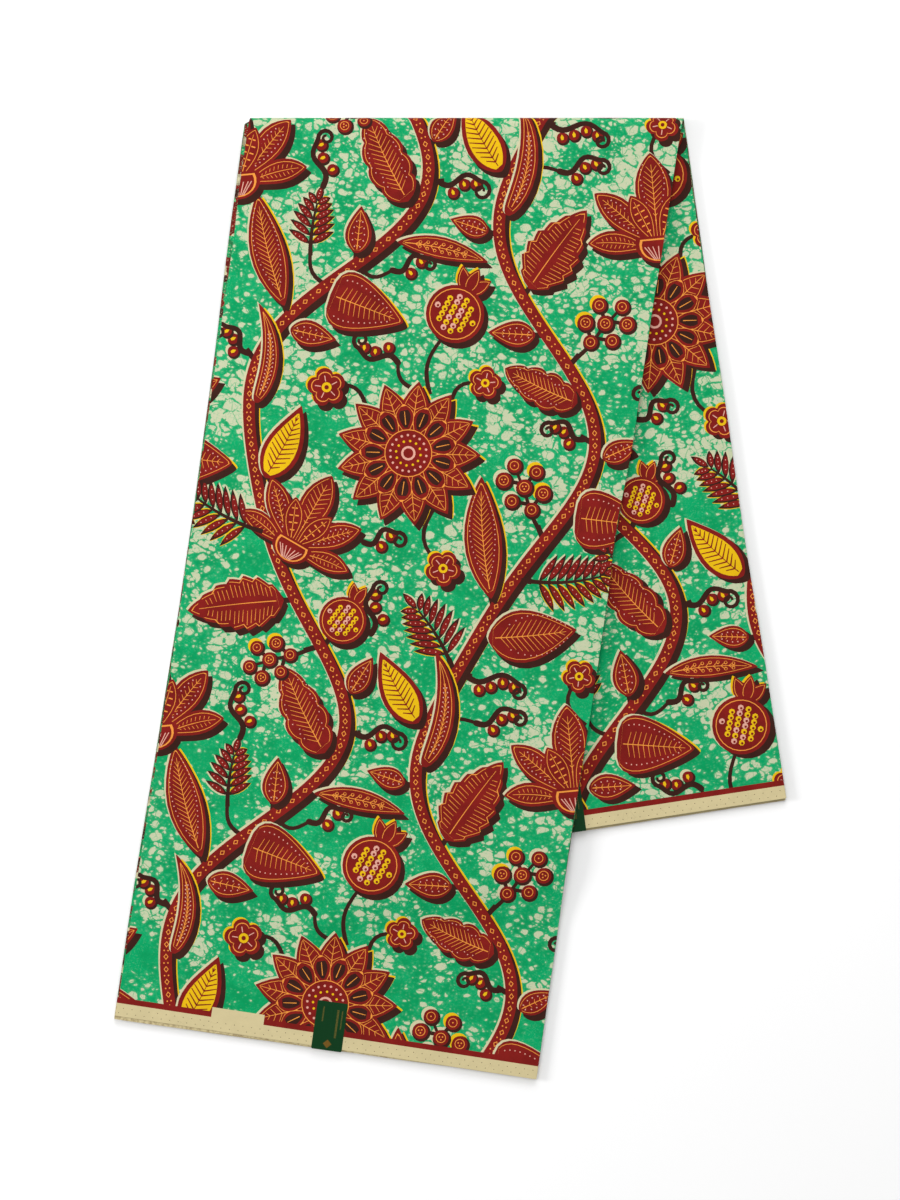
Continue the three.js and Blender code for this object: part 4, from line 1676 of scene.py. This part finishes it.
@dataclass
class FoldedLeaves:
    """The hidden leaves between the two that show, as one solid with layered walls. At the sides two leaves
    share a rounded fold, with a groove between folds, and at the hems each leaf ends by itself.

    A wave along an edge is given by the length in which it turns by a radian, and by its phase from one fold
    or leaf to the next.
    """

    name: str
    strip: Strip
    hem: float
    band: float
    outer_wall: float = 0.62
    leaves: int = 16
    groove: float = 2.0
    rounding: float = 0.12
    column_width: float = 8.0
    row_length: float = 9.0
    fold_rows: int = 16
    wander: float = 0.35
    side_radian: float = 37.0
    side_radian_step: float = 5.0
    side_phase: float = 2.4
    hem_radian: float = 31.0
    hem_phase: float = 1.9
    hem_left_share: float = 1.1
    hem_right_share: float = 0.2
    hem_right_short: float = 0.6
    tucked_out: float = 0.7
    tucked_reach: float = 5.8
    tucked_step: float = 2.4
    print_shift: float = 37.0
    sharp: float = 50.0

    def stations(self) -> list[float]:
        """Places along the strip for its rows of points, from the front hem to the back one."""
        fold = self.strip.quarter_fold
        front = round((self.strip.front_length - fold) / self.row_length)
        back = round((self.strip.back_length - fold) / self.row_length)
        down = [lerp(self.strip.front_length, fold, n / front) for n in range(front)]
        round_fold = [lerp(fold, -fold, n / self.fold_rows) for n in range(self.fold_rows)]
        up = [lerp(-fold, -self.strip.back_length, n / back) for n in range(back + 1)]
        return down + round_fold + up

    def depth(self, along: float, share: float) -> float:
        """The depth of a share of the stack.

        The leaf that shows lies outside the stack at the front, and inside it at the back.
        """
        strip = self.strip
        tail_end = strip.quarter_fold + strip.tucked_tail + strip.seam_gap
        outside = self.outer_wall * (1 - smooth((-along - tail_end) / strip.step_width))
        back = smooth((strip.quarter_fold - along) / (2 * strip.quarter_fold))
        inside = lerp(strip.thickness, strip.thickness - self.outer_wall, back)
        return lerp(outside, inside, share)

    def levels(self) -> list[tuple[float, int, bool]]:
        """The stack's levels, outermost first: a share of its depth, the leaf, and whether it is a groove."""
        rows = []
        for leaf in range(self.leaves):
            rows += [(leaf / self.leaves, leaf, True), ((leaf + 0.25) / self.leaves, leaf, False),
                     ((leaf + 0.75) / self.leaves, leaf, False)]
        return rows + [(1.0, self.leaves - 1, True)]

    def side(self, side: int, along: float, leaf: int, groove: bool) -> float:
        """How far a leaf's side stands out past the straight strip."""
        length = self.strip.front_length if along > 0 else self.strip.back_length
        group = LEAF_GROUPS[leaf * len(LEAF_GROUPS) // self.leaves]
        pair = (leaf + (side > 0)) // 2
        radian = self.side_radian + self.side_radian_step * (pair % 3)
        wave = math.sin(along / radian + self.side_phase * pair + side) * self.wander
        out = group.edge(side, abs(along) / length) + wave
        if side < 0:
            # The left sides lie inside the top leaf's at the crest, and step out on either side of it.
            below = smooth((abs(along) - self.tucked_reach) / self.tucked_step)
            out = lerp(min(out, self.tucked_out), out, below)
        if groove:
            # Every second groove is the inside of a fold, which shows at the other side.
            return out - self.groove if (leaf + (side > 0)) % 2 == 0 else out
        return out - self.rounding

    def end(self, arm: Arm, across: float, leaf: int, groove: bool) -> float:
        """How far a leaf's hem stands out past the top leaf's."""
        group = LEAF_GROUPS[leaf * len(LEAF_GROUPS) // self.leaves]
        share = smooth(across / self.strip.width + 0.5)
        if arm is Arm.FRONT:
            left_end = group.front_hem * self.hem_left_share
            right_end = group.front_hem * self.hem_right_share - self.hem_right_short
            out = lerp(left_end, right_end, share)
        else:
            out = group.back_hem
        wave = math.sin(across / self.hem_radian + self.hem_phase * leaf) * self.wander
        return out + wave - (self.groove if groove else 0)

    def build(self, finishes: Sequence[bpy.types.Material]) -> bpy.types.Object:
        """Makes the stack: its outermost and innermost faces, and the layered walls round it."""
        strip = self.strip
        stations, levels = self.stations(), self.levels()
        columns = round(strip.width / self.column_width)
        last_row, last_level = len(stations) - 1, len(levels) - 1
        shell = Shell()
        numbers: dict[tuple[int, int, int], int] = {}
        places: dict[tuple[int, int, int], Point] = {}

        def corner(row: int, column: int, level: int) -> tuple[int, int, int]:
            """The key of a point of the stack, which is made at its first use."""
            key = row, column, level
            if key in numbers:
                return key
            share, leaf, groove = levels[level]
            along = stations[row]
            across = strip.width * (column / columns - 0.5)
            if column in (0, columns):
                side = 1 if column else -1
                across += side * self.side(side, along, leaf, groove)
            if row in (0, last_row):
                arm = Arm.BACK if row else Arm.FRONT
                along += arm.value * self.end(arm, across, leaf, groove)
            skew = 1 - abs(stations[row]) / (strip.front_length if stations[row] > 0 else strip.back_length)
            along -= skew * across * math.tan(strip.lean)
            numbers[key] = shell.point(strip.place(across, along, self.depth(stations[row], share)))
            places[key] = across + leaf * self.print_shift, along
            return key

        spans = (last_row, columns, last_level)

        def tile(keys: Sequence[tuple[int, int, int]], face: StackFace, across: int, up: int) -> None:
            """Adds a face. The two numbers say which parts of a key, its row, column or level, run across its
            area of the bake map and up it.
            """
            west, south, east, north = face.value
            bakes = [(lerp(west, east, key[across] / spans[across]), lerp(south, north, key[up] / spans[up]))
                     for key in keys]
            shell.face([numbers[key] for key in keys], [places[key] for key in keys], bakes)

        for row in range(last_row):
            for column in range(columns):
                square = [(row, column), (row, column + 1), (row + 1, column + 1), (row + 1, column)]
                tile([corner(r, c, 0) for r, c in square], StackFace.OUTERMOST, 0, 1)
                tile([corner(r, c, last_level) for r, c in reversed(square)], StackFace.INNERMOST, 0, 1)
            for level in range(last_level):
                square = [(row, level), (row + 1, level), (row + 1, level + 1), (row, level + 1)]
                tile([corner(r, 0, v) for r, v in square], StackFace.LEFT, 0, 2)
                tile([corner(r, columns, v) for r, v in reversed(square)], StackFace.RIGHT, 0, 2)
        for column in range(columns):
            for level in range(last_level):
                square = [(column, level), (column, level + 1), (column + 1, level + 1), (column + 1, level)]
                tile([corner(0, c, v) for c, v in square], StackFace.FRONT_HEM, 1, 2)
                tile([corner(last_row, c, v) for c, v in reversed(square)], StackFace.BACK_HEM, 1, 2)
        return shell.piece(self.name, finishes, self.sharp)


@dataclass(frozen=True)
class Label:
    """A paper label stuck on a hem: where it lies across the strip, how far its end is from the hem, and its
    turn in degrees.
    """

    name: str
    arm: Arm
    across: float
    from_hem: float
    turn: float
    width: float = 22.0
    length: float = 35.0
    paper: float = 0.14
    raised: float = 0.03
    corner: float = 0.9
    corner_steps: int = 4
    bends: tuple[int, int] = (3, 5)

    def middle(self, strip: Strip) -> float:
        """Where its middle lies along the strip, without a sign."""
        length = strip.front_length if self.arm is Arm.FRONT else strip.back_length
        return length - self.from_hem - self.length / 2

    def build(self, strip: Strip, finish: bpy.types.Material) -> bpy.types.Object:
        """Makes the label: a rectangle with rounded corners, laid on the cloth and given its thickness."""
        choose()
        bpy.ops.mesh.primitive_plane_add(size=1)
        label = bpy.context.active_object
        label.name = label.data.name = self.name
        label.data.uv_layers[0].name = BAKE_MAP
        label.scale = (self.width, self.length, 1)
        bpy.ops.object.transform_apply(scale=True)
        bpy.ops.object.mode_set(mode="EDIT")
        bpy.ops.mesh.select_all(action="SELECT")
        bpy.ops.mesh.bevel(offset=self.corner, segments=self.corner_steps, affect="VERTICES")
        for axis, (size, count) in enumerate(zip((self.width, self.length), self.bends)):
            for n in range(1, count):
                at = size * (n / count - 0.5)
                bpy.ops.mesh.select_all(action="SELECT")
                bpy.ops.mesh.bisect(plane_co=(at, 0, 0) if axis == 0 else (0, at, 0),
                                    plane_no=(1, 0, 0) if axis == 0 else (0, 1, 0))
        bpy.ops.object.mode_set(mode="OBJECT")
        maps = [label.data.uv_layers[BAKE_MAP], label.data.uv_layers.new(name="Label")]
        for loop in label.data.loops:
            flat = label.data.vertices[loop.vertex_index].co
            for uv in maps:
                uv.data[loop.index].uv = (flat.x / self.width + 0.5, flat.y / self.length + 0.5)
        turn = math.radians(self.turn)
        for vertex in label.data.vertices:
            x, y = vertex.co.x, vertex.co.y
            across = self.across + x * math.cos(turn) - y * math.sin(turn)
            up = -self.middle(strip) + x * math.sin(turn) + y * math.cos(turn)
            if self.arm is Arm.FRONT:
                place = strip.place(across, -up, -self.raised)
            else:
                place = strip.place(across, up, strip.thickness + self.raised)
            vertex.co = Vector(place) * MM
        wall = label.modifiers.new("paper", "SOLIDIFY")
        wall.thickness = self.paper * MM
        wall.offset = 1
        bpy.ops.object.modifier_apply(modifier=wall.name)
        label.data.materials.append(finish)
        log.info("%s: %d faces", self.name, len(label.data.polygons))
        return label


LABEL_FRONT = Label("paper_label_front", Arm.FRONT, across=0.5, from_hem=-1.8, turn=0.6)
LABEL_BACK = Label("paper_label_back", Arm.BACK, across=-3.0, from_hem=-1.3, turn=-0.8)


# ---------------------------------------------------------------- the studio


@dataclass(frozen=True)
class Softbox:
    """A square area light that points at the middle of the cloth."""

    name: str
    place: Place
    size: float
    watts: float

    def build(self) -> None:
        """Hangs the light."""
        light = bpy.data.lights.new(self.name, "AREA")
        light.size = self.size
        light.energy = self.watts
        lamp = bpy.data.objects.new(self.name, light)
        lamp.location = self.place
        lamp.rotation_euler = (-Vector(self.place)).to_track_quat("-Z", "Y").to_euler()
        bpy.context.scene.collection.objects.link(lamp)


@dataclass(frozen=True)
class Studio:
    """A pale floor, soft light from above and a camera that looks straight down. In metres."""

    view_height: float = 0.864
    camera_height: float = 2.6
    sensor: float = 24.0
    floor_size: float = 12.0
    floor_drop: float = 0.0002
    ambient: float = 0.44
    softboxes: tuple[Softbox, ...] = (
        Softbox("overhead", (-0.3, 0.6, 3.2), 2.4, 30.0),
        Softbox("far_side", (0.1, 2.0, 1.8), 1.4, 31.0),
        Softbox("left_side", (-2.3, 0.2, 1.3), 0.8, 32.0),
    )

    def build(self) -> None:
        """Sets the floor, the lights and the camera."""
        scene = bpy.context.scene
        scene.view_settings.view_transform = "Standard"
        choose()
        bpy.ops.mesh.primitive_plane_add(size=self.floor_size, location=(0, 0, -self.floor_drop))
        floor = bpy.context.active_object
        floor.name = "floor"
        floor.data.materials.append(PaleFloor().make())
        for softbox in self.softboxes:
            softbox.build()
        world = bpy.data.worlds.new("daylight")
        world.use_nodes = True
        world.node_tree.nodes["Background"].inputs["Color"].default_value = (1, 1, 1, 1)
        world.node_tree.nodes["Background"].inputs["Strength"].default_value = self.ambient
        scene.world = world
        camera = bpy.data.cameras.new("camera")
        camera.sensor_fit = "VERTICAL"
        camera.sensor_height = self.sensor
        camera.lens = self.sensor * self.camera_height / self.view_height
        eye = bpy.data.objects.new("camera", camera)
        eye.location = (0, 0, self.camera_height)
        scene.collection.objects.link(eye)
        scene.camera = eye


@dataclass(frozen=True)
class FoldedCloth:
    """The folded length of cloth: its two printed leaves, the leaves between them, and its labels."""

    strip: Strip

    def build(self) -> None:
        """Makes each piece, hides the part it stands for and sets it on the body."""
        inks = ink_finishes()
        front = PrintedLeaf("printed_leaf_front", self.strip, Arm.FRONT, FRONT_EDGES,
                            print_shift=(-146, -176), notch=(-84.7, -46.7))
        back = PrintedLeaf("printed_leaf_back", self.strip, Arm.BACK, BACK_EDGES, print_shift=(-30, -96))
        folded = FoldedLeaves("folded_leaves", self.strip, front.hem, front.band)
        edge_finish = FoldedPrint(self.strip.front_length, self.strip.back_length, front.hem, front.band)
        stack = folded.build([edge_finish.make()])
        self.declare(stack, "hidden_layers")
        self.strip.width * MM
        for leaf, node in ((front, "front_panel"), (back, "back_panel")):
            sheet = leaf.build(inks)
            self.declare(sheet, node)
            leaf.flat
        paper = LabelPaper(LABEL_FRONT.width, LABEL_FRONT.length).make()
        for label, node in ((LABEL_FRONT, "label_front"), (LABEL_BACK, "label_back")):
            self.declare(label.build(self.strip, paper), node)

    def declare(self, piece: bpy.types.Object, node: str) -> None:
        """Hides the part that a piece stands for, and sets the piece on the body."""
        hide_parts(node)
        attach(piece, BODY)


def main() -> None:
    """Builds the cloth and the studio."""
    logging.basicConfig(level=logging.INFO, format="%(name)s: %(message)s")
    Studio().build()
    FoldedCloth(Strip.in_frame()).build()


if __name__ == "__main__":
    main()
